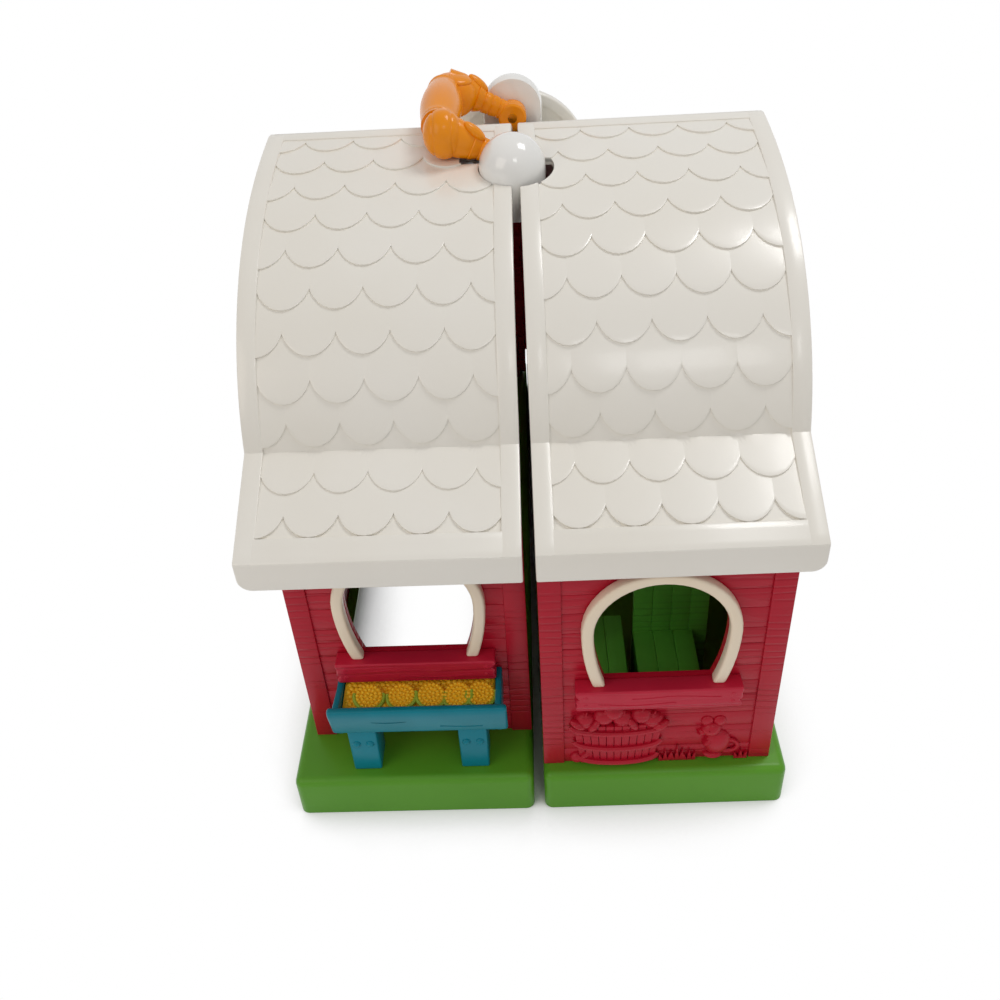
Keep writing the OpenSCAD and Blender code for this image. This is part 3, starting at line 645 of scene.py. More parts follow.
def shingle_row(tile, row, side):
    """Both slopes' shingles of one row."""
    first = 0.8 * SHINGLE_STEP if row % 2 == 0 else 0.3 * SHINGLE_STEP
    parts = []
    for column in range(5):
        x = first + column * SHINGLE_STEP
        copy = moved(twin(tile), shift(x, row_end(row), 0))
        if x + SHINGLE_STEP / 2 > HALF_X - 1:
            sliced(copy, (HALF_X - 2, 0, 0), (1, 0, 0))
        if x - SHINGLE_STEP / 2 < 1:
            sliced(copy, (1.5, 0, 0), (-1, 0, 0))
        if row == 0:
            sliced(copy, (0, 1.0, 0), (0, -1, 0))
        pair = [bend_to_roof(mirrored(twin(copy), (0, 1, 0))), bend_to_roof(copy)]
        if row in DOME_ROWS and x < 2 * SHINGLE_STEP:
            pair = [cut(one, *dome_cutters(side)) for one in pair]
        parts += pair
    return joined(parts)


def make_roof(side):
    tile = flat_shingle(SHINGLE_STEP / 2 + 0.8)
    rows = [shingle_row(tile, row, side) for row in range(ROWS_ABOVE_KICK + ROWS_BELOW_KICK)]
    bpy.data.objects.remove(tile)
    finish_half(joined(rows), side, "shingles", cream, "roof", 35)

    x0, x1, rim_x = SPLIT_GAP, HALF_X, HALF_X - RIM_T
    border_x = x1 - BORDER_W
    end = [(border_x, -SKIN), (rim_x, -SKIN), (rim_x, -RIM_H), (x1, -RIM_H), (x1, 0), (border_x, 0)]
    edge = 0.55
    split_border = roof_strip(strip_section(x0, x0 + BORDER_W, -SKIN, 0), -EAVE_U, EAVE_U, edge)
    field = roof_strip(strip_section(x0 + 0.4, rim_x + 0.5, -SKIN, FIELD_H), 1 - EAVE_U, EAVE_U - 1)
    ridge = roof_strip(strip_section(x0 + 0.1, x1 - 2, -SKIN, -0.03), -RIDGE_BAND, RIDGE_BAND, edge)
    split_rim = roof_strip(strip_section(x0, x0 + RIM_T, -RIM_H, -SKIN + 0.2), -150, 150, 0.3)
    parts = [cut(part, *dome_cutters(side)) for part in (split_border, field, ridge, split_rim)]
    parts.append(roof_strip(end, -EAVE_U, EAVE_U, edge))
    for way in (-1, 1):
        band = strip_section(x0 + 3, x1 - 3, -SKIN, -0.03)
        parts.append(roof_strip(band, *sorted((way * (EAVE_U - EAVE_BAND), way * EAVE_U)), edge))
        parts.append(eave_board(way))
    parts += [moved(tongue(x), shift(0, y, 0)) for x in (32, 62) for y in tongue_places(side)]
    finish_half(joined(parts), side, "roof_shell", cream, "roof", 35)


def eave_board(way):
    """The upright board along an eave, with the lower corner at the gable end rounded off."""
    top = roof_point(EAVE_U, 0)[1]
    corner = 5.0
    middle = HALF_X - corner, EAVE_BOTTOM + corner
    arc = [(middle[0] + corner * math.sin(a), middle[1] - corner * math.cos(a)) for a in arc_steps(0, 90, 15)]
    outline = [(SPLIT_GAP, EAVE_BOTTOM), *arc, (HALF_X, top), (SPLIT_GAP, top)]
    return plate(outline, "Y", *sorted((way * (EAVE_Y - WALL_T), way * EAVE_Y)), 0.8, 3)


def tongue(x):
    """A plain tab under the roof that drops inside a wall."""
    return block((x - 6, x + 6), (-1, 1), (128, 140), 0.3)


def tongue_places(side):
    return (-(FRONT_Y[side] - WALL_T - 1.2), REAR_Y - WALL_T - 1.2)


def under_roof(h, x0, x1):
    """Everything below the roof line, at height h from the borders' top."""
    run = [roof_point(-EAVE_U + i * EAVE_U / 40, h) for i in range(81)]
    return plate([(-EAVE_Y, 0), *run, (EAVE_Y, 0)], "X", x0, x1)


def above_roof(h, x0, x1):
    run = [roof_point(-EAVE_U + i * EAVE_U / 40, h) for i in range(81)]
    return plate([(-EAVE_Y - 9, RIDGE_Z + 20), (-EAVE_Y - 9, run[0][1]), *run,
                  (EAVE_Y + 9, run[-1][1]), (EAVE_Y + 9, RIDGE_Z + 20)], "X", x0, x1)


def half_disc(radius, z, foot):
    """Outline, in (x, z), of the right half of an arch that stands on a foot."""
    arc = [(radius * math.sin(a), z + radius * math.cos(a)) for a in arc_steps(0, 90, 5)]
    return [(SPLIT_GAP, z + radius)] + arc[1:] + [(radius, foot), (SPLIT_GAP, foot)]


def make_dormer(side):
    """Half of the arched face that stands behind the ridge, with a rim round its recessed middle."""
    radius, z, y0, y1, rim, recess = 32.0, 197.5, 49.5, 54.0, 4.5, 1.2
    dormer = plate(half_disc(radius, z, 170), "Y", y0, y1, 0.9, 3)
    for start, end in ((y0 - 5, y0 + recess), (y1 - recess, y1 + 5)):
        cut(dormer, plate(half_disc(radius - rim, z, 150), "Y", start, end))
    soften(cut(dormer, under_roof(-1.0, -5, 60)), 0.25, 2, 50)
    finish_half(dormer, side, "dormer", cream, "dormer")


# Walls

DOOR_Y = 34.0
DOOR_TOP = 112.0
LOFT_Z = 168.0
LOFT_R = 15.0
TRIM_T = 1.6
WALL_GAP = 0.3


def arch_points(radius):
    """The window opening in (x, z): an arch on two legs that lean in a little."""
    drop = WINDOW_Z - SILL_Z
    leg_r = (drop * drop + LEG_LEAN * LEG_LEAN) / (2 * LEG_LEAN) + radius - WINDOW_R
    legs = []
    for i in range(7):
        a = math.asin(drop / leg_r) * i / 6
        legs.append((radius - leg_r * (1 - math.cos(a)), WINDOW_Z - leg_r * math.sin(a)))
    arch = [(radius * math.cos(a), WINDOW_Z + radius * math.sin(a)) for a in arc_steps(7.5, 172.5, 7.5)]
    whole = legs[::-1] + arch + [(-x, z) for x, z in legs]
    return [(WINDOW_X + x, z) for x, z in whole]


def plank_joints(low, high, seed):
    """Heights of the joints between planks, about one centimetre apart."""
    chance = random.Random(seed)
    joints = [low]
    while joints[-1] < high - 14:
        joints.append(joints[-1] + chance.uniform(7.5, 12))
    return joints + [high]


def planks(x, y, joints, cutters=()):
    """Boards laid one over the other, each with its own softened edges."""
    boards = []
    for low, high in zip(joints, joints[1:]):
        board = block(x, y, (low, high), 0.42, 2)
        cut(board, *(twin(c) for c, c_low, c_high in cutters if c_low < high and c_high > low))
        boards.append(board)
    for cutter, _, _ in cutters:
        bpy.data.objects.remove(cutter)
    return boards


def wall_top(y):
    """Height of the top of a front or rear wall at distance y from the ridge line."""
    return roof_point(CURVE_RUN + (y - KICK_Y) / math.cos(FLARE), -SKIN - WALL_GAP)[1]


def make_wall(side):
    front, low = FRONT_Y[side], BASE_H
    seed = {"left": 3, "right": 8}[side]
    joints = plank_joints(low, wall_top(front), seed)
    window = plate(arch_points(WINDOW_R), "Y", -front - 5, -front + 9)
    parts = planks((0.4, GABLE_X), (-front, -front + WALL_T), joints,
                   [(window, SILL_Z, WINDOW_Z + WINDOW_R)])
    rear = plank_joints(low, wall_top(REAR_Y), seed + 1)
    parts += planks((0.4, GABLE_X), (REAR_Y - WALL_T, REAR_Y), rear)

    gable_top = RIDGE_Z - SKIN - WALL_GAP
    gable = [z for z in joints if z < wall_top(front) - 6]
    gable += plank_joints(wall_top(front), gable_top, seed + 2)
    doorway = block((80, 100), (-DOOR_Y, DOOR_Y), (low + 4, DOOR_TOP))
    loft = moved(drum(LOFT_R, 80, 100, 48), shift(0, 0, LOFT_Z) @ tilt(90, "Y"))
    above = above_roof(-SKIN - WALL_GAP, 80, 105)
    parts += planks((GABLE_X - WALL_T, GABLE_X), (-front + 0.3, REAR_Y - 0.3), gable,
                    [(doorway, low + 4, DOOR_TOP), (loft, LOFT_Z - LOFT_R, LOFT_Z + LOFT_R),
                     (above, wall_top(REAR_Y) - 14, RIDGE_Z)])

    post_top = EAVE_BOTTOM + 6
    outer = GABLE_X + POST_H
    for x in ((0.4, 0.4 + POST_W), (outer - POST_W, outer)):
        parts.append(block(x, (-front - POST_H, -front + 0.4), (low, post_top), 0.35))
        parts.append(block(x, (REAR_Y - 0.4, REAR_Y + POST_H), (low, post_top), 0.35))
    for y in (-front + 6.0, REAR_Y - 6.0):
        for x in (8.2, GABLE_X - 5.8):
            boss = drum(4, low, low + 30, 24)
            parts.append(moved(soften(boss, 0.4), shift(x, y, 0)))
    if side == "right":
        parts += picture()
    finish_half(joined(parts), side, "wall_boards", red, "wall", 35)


def make_window(side):
    front = FRONT_Y[side]
    outline = arch_points(WINDOW_R + FRAME_W) + arch_points(WINDOW_R)[::-1]
    frame_ring = plate(outline, "Y", -front - FRAME_D, -front, 1.1, 3)
    finish_half(frame_ring, side, "window_arch", trim_cream, "window_frame")

    left_end, right_end = WINDOW_X - SILL_W / 2, WINDOW_X + SILL_W / 2
    low, high = SILL_Z - SILL_H, SILL_Z
    outline = [(left_end + 0.8, low), (right_end - 0.9, low), (right_end, low + 1.6),
               (right_end - 1.5, low + 3.4), (right_end - 0.2, low + 4.6), (right_end - 0.5, low + 7.2),
               (right_end - 0.1, high - 1.4), (right_end - 0.4, high), (left_end + 0.3, high),
               (left_end, high - 2), (left_end + 1.6, high - 3.9), (left_end + 0.2, high - 5.4),
               (left_end + 0.9, low + 3), (left_end, low + 1.4)]
    parts = [plate(outline, "Y", -front - SILL_D, -front, 0.7, 3)]
    for x in (left_end + 4, right_end - 4):
        for k in (0.3, 0.7):
            nail = lathe([(0, -0.25), (0.75, -0.2), (1.05, 0.1), (1.1, 0.9), (0, 0.9)], 16)
            turn = shift(x, -front - SILL_D, high - k * SILL_H) @ tilt(-90, "X")
            parts.append(moved(nail, turn))
    for z, start, end in ((low + 3.2, 9, 41), (low + 6.8, 22, 58)):
        crack = [(left_end + x, -front - SILL_D, z + 0.5 * math.sin(x / 5)) for x in range(start, end, 2)]
        cut(parts[0], stroke(crack, 0.28))
    finish_half(joined(parts), side, "sill_plank", sill_red, "sill")


# Moulded picture on the right wall

PICTURE_Y = -157.5


def bead(x, z, radii, lean=0.0, y=PICTURE_Y):
    """A rounded lump on the wall, leaning by an angle in degrees."""
    lump = ball((0, 0, 0), radii, 20, 12)
    return moved(lump, shift(x, y, z) @ tilt(lean, "Y"))


def basket():
    """Half a round basket: upright slats side by side, and three hoops that sag towards the front."""
    left, right, low, high, slats = 12.6, 48.6, BASE_H + 1, BASE_H + 25, 11
    middle, half, sag = (left + right) / 2, (right - left) / 2, 2.4
    parts = []
    for i in range(slats):
        bulge = math.sqrt(1 - ((i + 0.5) / slats * 2 - 1) ** 2)
        foot = [left + 3 + (right - left - 6) * k / slats for k in (i + 0.02, i + 0.98)]
        head = [left + (right - left) * k / slats for k in (i + 0.02, i + 0.98)]
        parts.append(plate([(foot[0], low), (foot[1], low), (head[1], high), (head[0], high)], "Y",
                           PICTURE_Y - 0.8 - 2.2 * bulge, PICTURE_Y + 0.3, 0.35))
    for z, share in ((low + 4.4, 0.9), (low + 13, 0.96), (low + 22.4, 1.05)):
        hoop = [(middle + half * share * math.sin(a), PICTURE_Y - 0.9 - sag * math.cos(a),
                 z - sag * math.cos(a)) for a in arc_steps(-90, 90, 9)]
        parts.append(stroke(hoop, 1.25))
    return parts


def fruit():
    parts = []
    for x, z in ((17.5, 48), (25, 49.8), (32.5, 48.6), (40, 50.2), (29, 52.6), (44.6, 47.4)):
        parts.append(bead(x, z, (4.5, 3.6, 4.3)))
        parts.append(bead(x + 0.4, z + 4.2, (0.45, 0.7, 1.5), 15, PICTURE_Y - 1.2))
    for x, z, lean in ((14.5, 47.5, -50), (21, 46.6, 35), (36.5, 46.9, -30), (47.6, 45.8, 60)):
        parts.append(bead(x, z, (1.7, 2.2, 3.9), lean, PICTURE_Y - 2.2))
    parts.append(bead(14.2, 24.6, (3.1, 2.6, 2.9)))
    parts.append(bead(17.6, 27.4, (1.2, 1.4, 2.8), 50, PICTURE_Y - 1.6))
    return parts


def grass():
    """Four tufts of pointed blades."""
    parts = []
    for x, height in ((50.5, 7), (55.3, 9.5), (60.4, 6.5), (81.5, 5.5)):
        for k, share in ((-1.7, 0.65), (0, 1.0), (1.6, 0.75)):
            foot = BASE_H + 0.3
            blade = [(x + k - 1.1, foot), (x + k + 1.1, foot), (x + 1.5 * k, foot + share * height)]
            parts.append(plate(blade, "Y", PICTURE_Y - 1.5, PICTURE_Y + 0.2, 0.25))
    return parts


def field_mouse():
    """A small plain mouse that sits up, seen from the side."""
    parts = [bead(71.5, 31.5, (5.4, 3.2, 7.2), 8), bead(68.4, 40.2, (4.3, 3.4, 3.6), -18),
             bead(64.9, 38.6, (1.9, 2.3, 1.5), 20), bead(63.3, 38.5, (0.7, 2.7, 0.7)),
             bead(66.6, 44.6, (2.6, 1.5, 2.8)), bead(71.6, 44.4, (2.7, 1.6, 2.9)),
             bead(67.4, 32.6, (1.3, 2.9, 3.0), 40), bead(70, 24.2, (4.2, 3.0, 1.6)),
             bead(67.2, 41.2, (0.55, 3.7, 0.6))]
    curl = [(76 + 3.1 * math.cos(t) * (1.2 - t / 8), PICTURE_Y - 0.8, 29.5 + 3.4 * math.sin(t)) for t in
            (-2.4 + 0.35 * i for i in range(18))]
    return parts + [stroke(curl, 0.85)]


def picture():
    return basket() + fruit() + grass() + field_mouse()


# Base

def make_base(side):
    front = FRONT_Y[side]
    base = block((SPLIT_GAP, HALF_X), (-BASE_Y, BASE_Y), (-12, BASE_H), 3.5, 5)
    sliced(base, (0, 0, 0), (0, 0, -1))
    inside_y = BASE_Y - WALL_T
    cut(base, block((SPLIT_GAP + WALL_T, HALF_X - WALL_T), (-inside_y, inside_y), (-1, BASE_H - WALL_T)))
    if side == "left":
        cut(base, block((15.6, 85.6), (12 - front, REAR_Y - 12), (10, BASE_H + 1)))
    finish_half(base, side, "base_tray", green, "base")


# Trough and corn

TROUGH_X = (9.3, 80.0)
TROUGH_Z = (46.5, 64.0)
TROUGH_BACK = 139.8
TROUGH_FOOT = 161.0
TROUGH_LIP = 164.5
BOARD = 2.6
END_IN = 2.0
LEG_Y = (-159, -145)
LEG_HALF = 5.8
SLICE_Y = -153.8
SLICE_Z = 60.9
SLICE_TIP = 14
RIND_R = 5.9


def make_trough():
    low, high = TROUGH_Z
    x0, x1 = TROUGH_X
    top = SILL_Z - SILL_H - WALL_GAP
    front = plate([(-TROUGH_FOOT, low + 0.6), (-TROUGH_FOOT + BOARD, low), (-TROUGH_LIP + BOARD + 0.6, high),
                   (-TROUGH_LIP, high), (-TROUGH_LIP, high - 3.4)], "X", x0, x1, 1.25, 4)
    for z_part, start, end, wave in ((0.58, 1 - 0.98, 0.6, 0.9), (0.3, 0.62, 0.86, 0.5)):
        z = low + z_part * (high - low)
        y = -TROUGH_FOOT - (TROUGH_LIP - TROUGH_FOOT) * z_part
        steps = [start + (end - start) * i / 16 for i in range(17)]
        cut(front, stroke([(x1 - k * (x1 - x0), y, z + wave * math.sin(14 * k)) for k in steps], 0.42))
    end_outline = [(-TROUGH_BACK, low), (-TROUGH_FOOT + 0.4, low), (-TROUGH_LIP + 0.6, high - 0.6),
                   (-TROUGH_LIP + 4, high - 0.4), (-FRONT_Y["left"] - SILL_D - 3, top), (-TROUGH_BACK, top)]
    across = (x0 + END_IN, x1 - END_IN)
    parts = [front, block(across, (-TROUGH_FOOT + 0.5, -TROUGH_BACK), (low, low + BOARD), 0.9, 3),
             block(across, (-TROUGH_BACK - BOARD, -TROUGH_BACK), (low, top), 0.6)]
    parts += [plate(end_outline, "X", x, x + BOARD, 0.8, 3) for x in (x0 + END_IN, x1 - END_IN - BOARD)]
    finish(settle(joined(parts), "left"), "trough_boards", "left_half", teal, ["trough"])

    legs = []
    for x in (x1 - 11, x0 + 14.7):
        h = low - BASE_H
        wide = LEG_HALF + 0.1
        outline = [(x - LEG_HALF, BASE_H), (x + LEG_HALF, BASE_H), (x + wide, low), (x - wide, low)]
        legs.append(plate(outline, "Y", *LEG_Y, 0.9, 3))
        for way in (-1, 1):
            rivet = lathe([(0, -1.2), (0.9, -1.0), (1.6, -0.3), (1.75, 0.6), (0, 0.6)], 20)
            turn = shift(x + way * 2.8, LEG_Y[0], BASE_H + 0.66 * h) @ tilt(-90, "X")
            legs.append(moved(rivet, turn))
    finish(settle(joined(legs), "left"), "trough_feet", "left_half", teal, ["trough_legs"])


def slice_place(x, lean):
    """A slice lies on the heap, tipped a little towards the front."""
    return (shift(x, SLICE_Y, SLICE_Z) @ tilt(SLICE_TIP, "X") @
            tilt(lean, "Y"))


def cob_slice(x, lean):
    """A round slice off a corn cob: three rings of kernels."""
    parts = [lathe([(0, -1.2), (5.3, -1.2), (5.5, 0), (5.3, 0.3), (0, 0.3)], 28)]
    for radius, count, size in ((4.6, 18, 0.8), (2.9, 12, 0.78), (1.2, 5, 0.75)):
        for i in range(count):
            a = 2 * math.pi * i / count
            parts.append(ball((radius * math.cos(a), radius * math.sin(a), 0.4), (size, size, 0.65), 8, 6))
    return [moved(p, slice_place(x, lean)) for p in parts]


def husk(x, lean):
    """The green rind along the lower edge of a slice."""
    rim = [(RIND_R * math.cos(a), RIND_R * math.sin(a), 0) for a in arc_steps(165, 369, 12)]
    return moved(stroke(rim, 0.75), slice_place(x, lean))


def make_corn():
    """A heap of loose kernels with five cob slices along the front."""
    chance = random.Random(5)
    x0, x1 = TROUGH_X[0] + END_IN + BOARD + 0.3, TROUGH_X[1] - END_IN - BOARD - 0.3
    heap = [(-142.6, 49.2), (-158.2, 49.2), (-159.8, 57.0), (-156, 58.6), (-148, 59.4), (-142.6, 59.4)]
    parts = [plate(heap, "X", x0, x1, 0.5)]
    kernel = ball((0, 0, 0), (1.25, 1.25, 1.0), 10, 6)
    pitch = 2.25
    for i in range(int((x1 - x0 - 2) / pitch)):
        for j in range(8):
            y = -144.2 - 1.95 * j
            copy = twin(kernel)
            turn = Matrix.Rotation(chance.uniform(-0.5, 0.5), 4, "X")
            place = (x0 + 1.6 + pitch * (i + 0.5 * (j % 2)), y + chance.uniform(-0.2, 0.2),
                     59.3 - 0.16 * j + chance.uniform(-0.3, 0.5))
            parts.append(moved(copy, Matrix.Translation(place) @ turn))
    bpy.data.objects.remove(kernel)
    spots = [(64.3, -8), (51.2, 5), (39.4, -5), (29, 6), (19.6, -4)]
    for x, lean in spots:
        parts += cob_slice(x, lean)
    finish(settle(joined(parts), "left"), "corn_heap", "left_half", corn_yellow, ["corn"])
    rims = settle(joined([husk(x, lean) for x, lean in spots]), "left")
    finish(rims, "corn_husks", "left_half", husk_green, ["corn"])


# Domes and handle

def about_y(obj, place):
    """Turns a piece made round Z to lie along Y, with its +Z end towards the front."""
    return moved(obj, Matrix.Translation(place) @ tilt(90, "X"))


def make_dome(way, name):
    """A half ball on a round foot, whose flat side faces the handle. Way is -1 at the front."""
    arc = [(DOME_R * math.cos(a), DOME_R * math.sin(a)) for a in arc_steps(0, 85, 5)]
    dome = lathe([(0, -DOME_FOOT), (DOME_R, -DOME_FOOT)] + arc + [(0, DOME_R)], 72)
    moved(dome, shift(0, -DOME_Y - DOME_OUT, DOME_Z))
    soften(sliced(dome, (0, -DOME_Y, 0), (0, 1, 0)), 0.45, 3, 40)
    parts = [dome, block((-10, -3.2), (-DOME_Y - 7, -DOME_Y - 0.2), (202.5, PIVOT_Z), 0.4)]
    whole = joined(parts)
    if way > 0:
        mirrored(whole, (0, 1, 0))
    settle(whole, "left", flip=False)
    finish(whole, "dome_cap_" + name, "left_half", white, ["dome_" + name])


def arm_frame():
    """The turn and place of the front arm, from its pivot towards the grip."""
    return shift(0, -ARM_Y, PIVOT_Z) @ Matrix.Rotation(FOLD - math.pi / 2, 4, "Y")


def ridged(radius, height, groove=0.3):
    """Points of a small groove round a turned bar."""
    return [(radius, height - 0.45), (radius - groove, height), (radius, height + 0.45)]


def make_arm(name):
    """One arm of the handle: an eye on its pin, a tapered bar with rings, and a bulky end at the grip."""
    bar = [(0, 0), (3.2, 0), (3.4, 5), *ridged(3.6, 7), *ridged(3.8, 10.5), *ridged(3.95, 14),
           *ridged(5.0, 17.5), (5.8, 21), (6.4, 25), (6.0, ARM_L), (0, ARM_L)]
    parts = [moved(lathe(bar, 40), arm_frame() @ shift(0.7, 0, 0) @ Matrix.Diagonal((1.18, 1, 1, 1)))]
    half = 3.7
    eye = [(0, -half), (5.3, -half), (6, -half + 0.7), (6, half - 0.7), (5.3, half), (0, half)]
    parts.append(about_y(lathe(eye, 48), (0, -ARM_Y, PIVOT_Z)))
    parts.append(moved(ball((0, 0, 0), (1.9, 2.6, 5.2), 24, 14),
                       arm_frame() @ shift(6.6, -1.4, 18.5) @ Matrix.Rotation(0.3, 4, "Y")))
    if name == "front":
        parts += seamed_ball((GRIP_X + 2.2, -ARM_Y - 0.6, GRIP_Z - 0.6), (7.9, 8.2, 9.4))
    else:
        bulk = ball((0, 0, 0), (10.6, 8.8, 9.0), 48, 28)
        parts.append(moved(bulk, shift(GRIP_X + 3.0, -ARM_Y + 2.6, GRIP_Z - 3.4)))
        pad = ball((0, 0, 0), (7.4, 6.6, 2.4), 40, 20)
        place = shift(GRIP_X + 4.6, -ARM_Y + 2.2, GRIP_Z + 3.2)
        parts.append(moved(pad, place @ Matrix.Rotation(0.12, 4, "Y")))
    arm = joined(parts)
    if name == "rear":
        mirrored(arm, (0, 1, 0))
    settle(arm, "left", flip=False)
    finish(arm, "arm_" + name, "handle", orange, ["handle_arm_" + name])


def seamed_ball(centre, radii):
    """A ball with two seams that run round it from front to back."""
    profile = []
    for step in range(33):
        a = math.radians(-90 + 180 * step / 32)
        r = 0.955 if step in (11, 21) else 1.0
        profile.append((max(0.0, r * math.cos(a)), r * math.sin(a)))
    turned = moved(lathe(profile, 56), tilt(90, "Y"))
    return [moved(turned, Matrix.Translation(centre) @ Matrix.Diagonal((*radii, 1)))]


def make_grip():
    half, end, middle = ARM_Y - BALL_R + 0.6, BALL_R + 0.4, 8.4
    points = [(0, -half), (end, -half)] + ridged(end + 0.15, -half + 2.2)
    for k in range(-8, 9):
        points.append((end + (middle - end) * math.cos(math.pi / 2 * k / 8), k / 8 * (half - 3.4)))
    points += ridged(end + 0.15, half - 2.2) + [(end, half), (0, half)]
    grip = about_y(lathe(points, 56), (GRIP_X, 0, GRIP_Z))
    finish(settle(grip, "left", flip=False), "grip_bar", "handle", orange, ["handle_grip"])


# Gable doors, trims and loft rings

DOOR_X = 94.4
DOOR_T = 2.6
DOOR_Z = (23.5, 114.0)
BARREL = (96.65, 38.2, 2.3)


def make_door():
    """The rear leaf of the right half: four planks, two rails, a brace, its hinge barrel and a knob."""
    low, high = DOOR_Z
    width = BARREL[1] - 0.3
    joints = [0.3 + width * i / 4 for i in range(5)]
    parts = [block((DOOR_X, DOOR_X + DOOR_T), plank, DOOR_Z, 0.45) for plank in zip(joints, joints[1:])]
    out = (DOOR_X + DOOR_T - 0.2, DOOR_X + DOOR_T + 0.9)
    for z in (low + 9, high - 17):
        parts.append(block(out, (1.6, 34.6), (z, z + 8), 0.4))
    brace = [(3, low + 18.5), (10.5, low + 18.5), (33, high - 18.5), (25.5, high - 18.5)]
    parts.append(plate(brace, "X", *out, 0.4))
    x, y, r = BARREL
    barrel = drum(r, low, high)
    parts.append(moved(soften(barrel, 0.35), shift(x, y, 0)))
    knob = lathe([(0, 0), (1.4, 0), (1.3, 1), (2.4, 1.7), (2.4, 2.4), (1.5, 2.75), (0, 2.8)], 28)
    parts.append(moved(knob, shift(DOOR_X + DOOR_T - 0.1, 5, (low + high) / 2) @
                       tilt(90, "Y")))
    return joined(parts)


def make_doors():
    model = make_door()
    for side in ("left", "right"):
        for end in ("rear", "front"):
            leaf = twin(model)
            if end == "front":
                mirrored(leaf, (0, 1, 0))
            finish(settle(leaf, side), f"door_leaf_{side}_{end}", f"{side}_{end}_door", red,
                   [f"door_{side}_{end}"])
    bpy.data.objects.remove(model)


def make_trim(side):
    out, low = (GABLE_X, GABLE_X + TRIM_T), BASE_H + 0.2
    parts = [block(out, (y, y + 7), (low, DOOR_TOP + 7), 0.5) for y in (-DOOR_Y - 7, DOOR_Y)]
    parts.append(block(out, (-DOOR_Y + 0.01, DOOR_Y - 0.01), (DOOR_TOP, DOOR_TOP + 7), 0.5))
    x, y, r = BARREL
    for way in (-1, 1):
        for z0, z1 in ((low, DOOR_Z[0] - 0.3), (DOOR_Z[1] + 0.3, DOOR_Z[1] + 3.3)):
            lug = drum(r + 0.25, z0, z1)
            parts.append(moved(soften(lug, 0.3), shift(x, way * y, 0)))
            parts.append(block((GABLE_X, x), (way * y - r - 0.25, way * y + r + 0.25), (z0, z1), 0.2))
    finish_half(joined(parts), side, "door_trim", trim_cream, "gable_trim")

    outer = LOFT_R + 3.3
    ring = lathe([(LOFT_R, GABLE_X), (outer, GABLE_X), (outer + 0.6, GABLE_X + 0.7), (outer, GABLE_X + 1.5),
                  (LOFT_R + 0.5, GABLE_X + 1.5), (LOFT_R, GABLE_X + 1)], 64, ring=True)
    moved(ring, shift(0, 0, LOFT_Z) @ tilt(90, "Y"))
    finish_half(ring, side, "loft_window", trim_cream, "loft_ring")


# Stall behind the right window

def boarded(x, y, z, count):
    """A box faced with upright boards side by side."""
    width = (x[1] - x[0]) / count
    return [block((x[0] + i * width, x[0] + (i + 1) * width), y, z, 0.4) for i in range(count)]


def make_stall():
    pieces = {"stall_bench": ((41, 66.5), (-149, -112), (BASE_H, 50), 3),
              "stall_panel": ((41, 73), (-111.8, -109.4), (BASE_H, 96), 4),
              "feed_bin": ((13.5, 36.5), (-149, -104), (BASE_H, 52), 3)}
    for node, (x, y, z, count) in pieces.items():
        piece = settle(joined(boarded(x, y, z, count)), "right")
        finish(piece, node + "_boards", "right_half", stall_green, [node])


def dress_cad():
    """Gives the plain fasteners that stay as built their material."""
    looks = {"handle_bracket": cream, "hinge_leaf_left": red, "hinge_leaf_right": red}
    for name, node in frame["nodes"].items():
        node.data.materials.clear()
        node.data.materials.append(looks.get(name, steel))
        for polygon in node.data.polygons:
            polygon.material_index = 0


# Light and backdrop

def background_rays(nodes, link):
    """1 for the rays that meet a white background: the camera's, and those by way of metal or glass."""
    rays = nodes.new("ShaderNodeLightPath")
    found = rays.outputs["Is Camera Ray"]
    for kind in ("Is Glossy Ray", "Is Transmission Ray"):
        either = nodes.new("ShaderNodeMath")
        either.operation = "MAXIMUM"
        link(found, either.inputs[0])
        link(rays.outputs[kind], either.inputs[1])
        found = either.outputs[0]
    return found


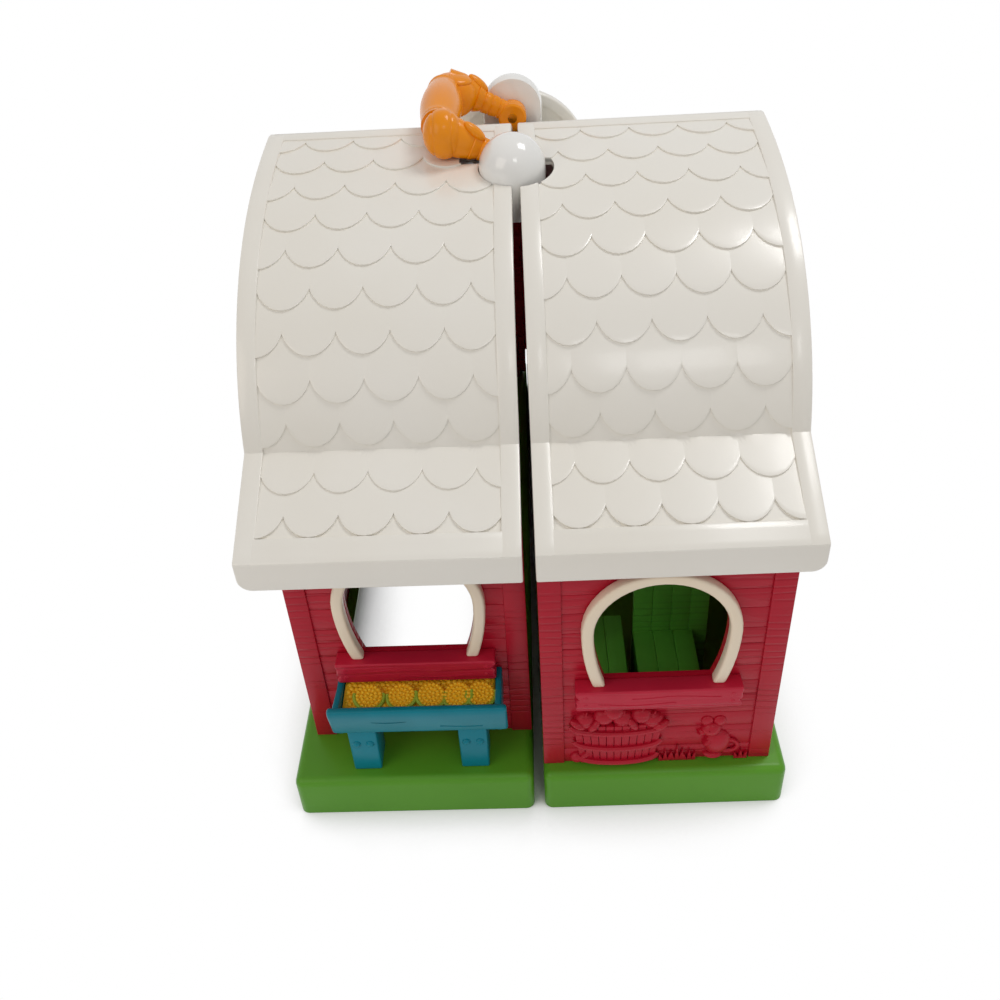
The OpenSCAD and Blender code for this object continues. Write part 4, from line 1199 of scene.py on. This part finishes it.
def make_backdrop():
    """A pale floor that shows white to the camera but keeps the object's soft shadow near it."""
    material = bpy.data.materials.new("floor")
    material.use_nodes = True
    nodes, link = material.node_tree.nodes, material.node_tree.links.new
    surface = nodes["Principled BSDF"]
    surface.inputs["Base Color"].default_value = (0.9, 0.9, 0.9, 1)
    surface.inputs["Roughness"].default_value = 0.7
    glow = nodes.new("ShaderNodeEmission")
    glow.inputs["Strength"].default_value = 1.0
    openness = nodes.new("ShaderNodeAmbientOcclusion")
    openness.inputs["Distance"].default_value = 0.05
    clear = nodes.new("ShaderNodeMapRange")
    clear.inputs["From Min"].default_value = 0.35
    clear.inputs["From Max"].default_value = 0.8
    share = nodes.new("ShaderNodeMath")
    share.operation = "MULTIPLY"
    mix = nodes.new("ShaderNodeMixShader")
    link(openness.outputs["AO"], clear.inputs["Value"])
    link(clear.outputs["Result"], share.inputs[0])
    link(background_rays(nodes, link), share.inputs[1])
    link(share.outputs[0], mix.inputs["Fac"])
    link(surface.outputs[0], mix.inputs[1])
    link(glow.outputs[0], mix.inputs[2])
    link(mix.outputs[0], nodes["Material Output"].inputs["Surface"])
    bpy.ops.object.select_all(action="DESELECT")
    bpy.ops.mesh.primitive_plane_add(size=6, location=(0, 0, -0.0002))
    floor = bpy.context.active_object
    floor.name = "floor"
    floor.data.materials.append(material)


def make_world():
    world = bpy.data.worlds.new("studio")
    bpy.context.scene.world = world
    world.use_nodes = True
    nodes, link = world.node_tree.nodes, world.node_tree.links.new
    plain = nodes["Background"]
    plain.inputs["Color"].default_value = (1, 1, 1, 1)
    plain.inputs["Strength"].default_value = 0.42
    white_back = nodes.new("ShaderNodeBackground")
    white_back.inputs["Strength"].default_value = 1.0
    mix = nodes.new("ShaderNodeMixShader")
    link(background_rays(nodes, link), mix.inputs["Fac"])
    link(plain.outputs[0], mix.inputs[1])
    link(white_back.outputs[0], mix.inputs[2])
    link(mix.outputs[0], nodes["World Output"].inputs["Surface"])


def make_lamp(name, place, size, watts, colour=(1, 1, 1)):
    """A soft square lamp that looks at the barn."""
    lamp = bpy.data.lights.new(name, "AREA")
    lamp.color = colour
    lamp.size = size
    lamp.energy = watts
    holder = bpy.data.objects.new(name, lamp)
    bpy.context.scene.collection.objects.link(holder)
    holder.location = place
    holder.rotation_euler = (Vector((0, 0, 0.12)) - Vector(place)).to_track_quat("-Z", "Y").to_euler()


def make_light():
    bpy.context.scene.view_settings.view_transform = "Standard"
    make_world()
    make_backdrop()
    make_lamp("key", (0.55, 0.15, 1.3), 0.4, 5)
    make_lamp("fill", (-0.9, -0.9, 0.9), 0.8, 3.2, (1, 0.9, 0.8))
    make_lamp("glint", (0.3, -1.2, 1.3), 0.3, 1.2)


for half in ("left", "right"):
    make_roof(half)
    make_dormer(half)
    make_wall(half)
    make_window(half)
    make_base(half)
    make_trim(half)
make_trough()
make_corn()
make_dome(-1, "front")
make_dome(1, "rear")
make_arm("front")
make_arm("rear")
make_grip()
make_doors()
make_stall()
dress_cad()
make_light()
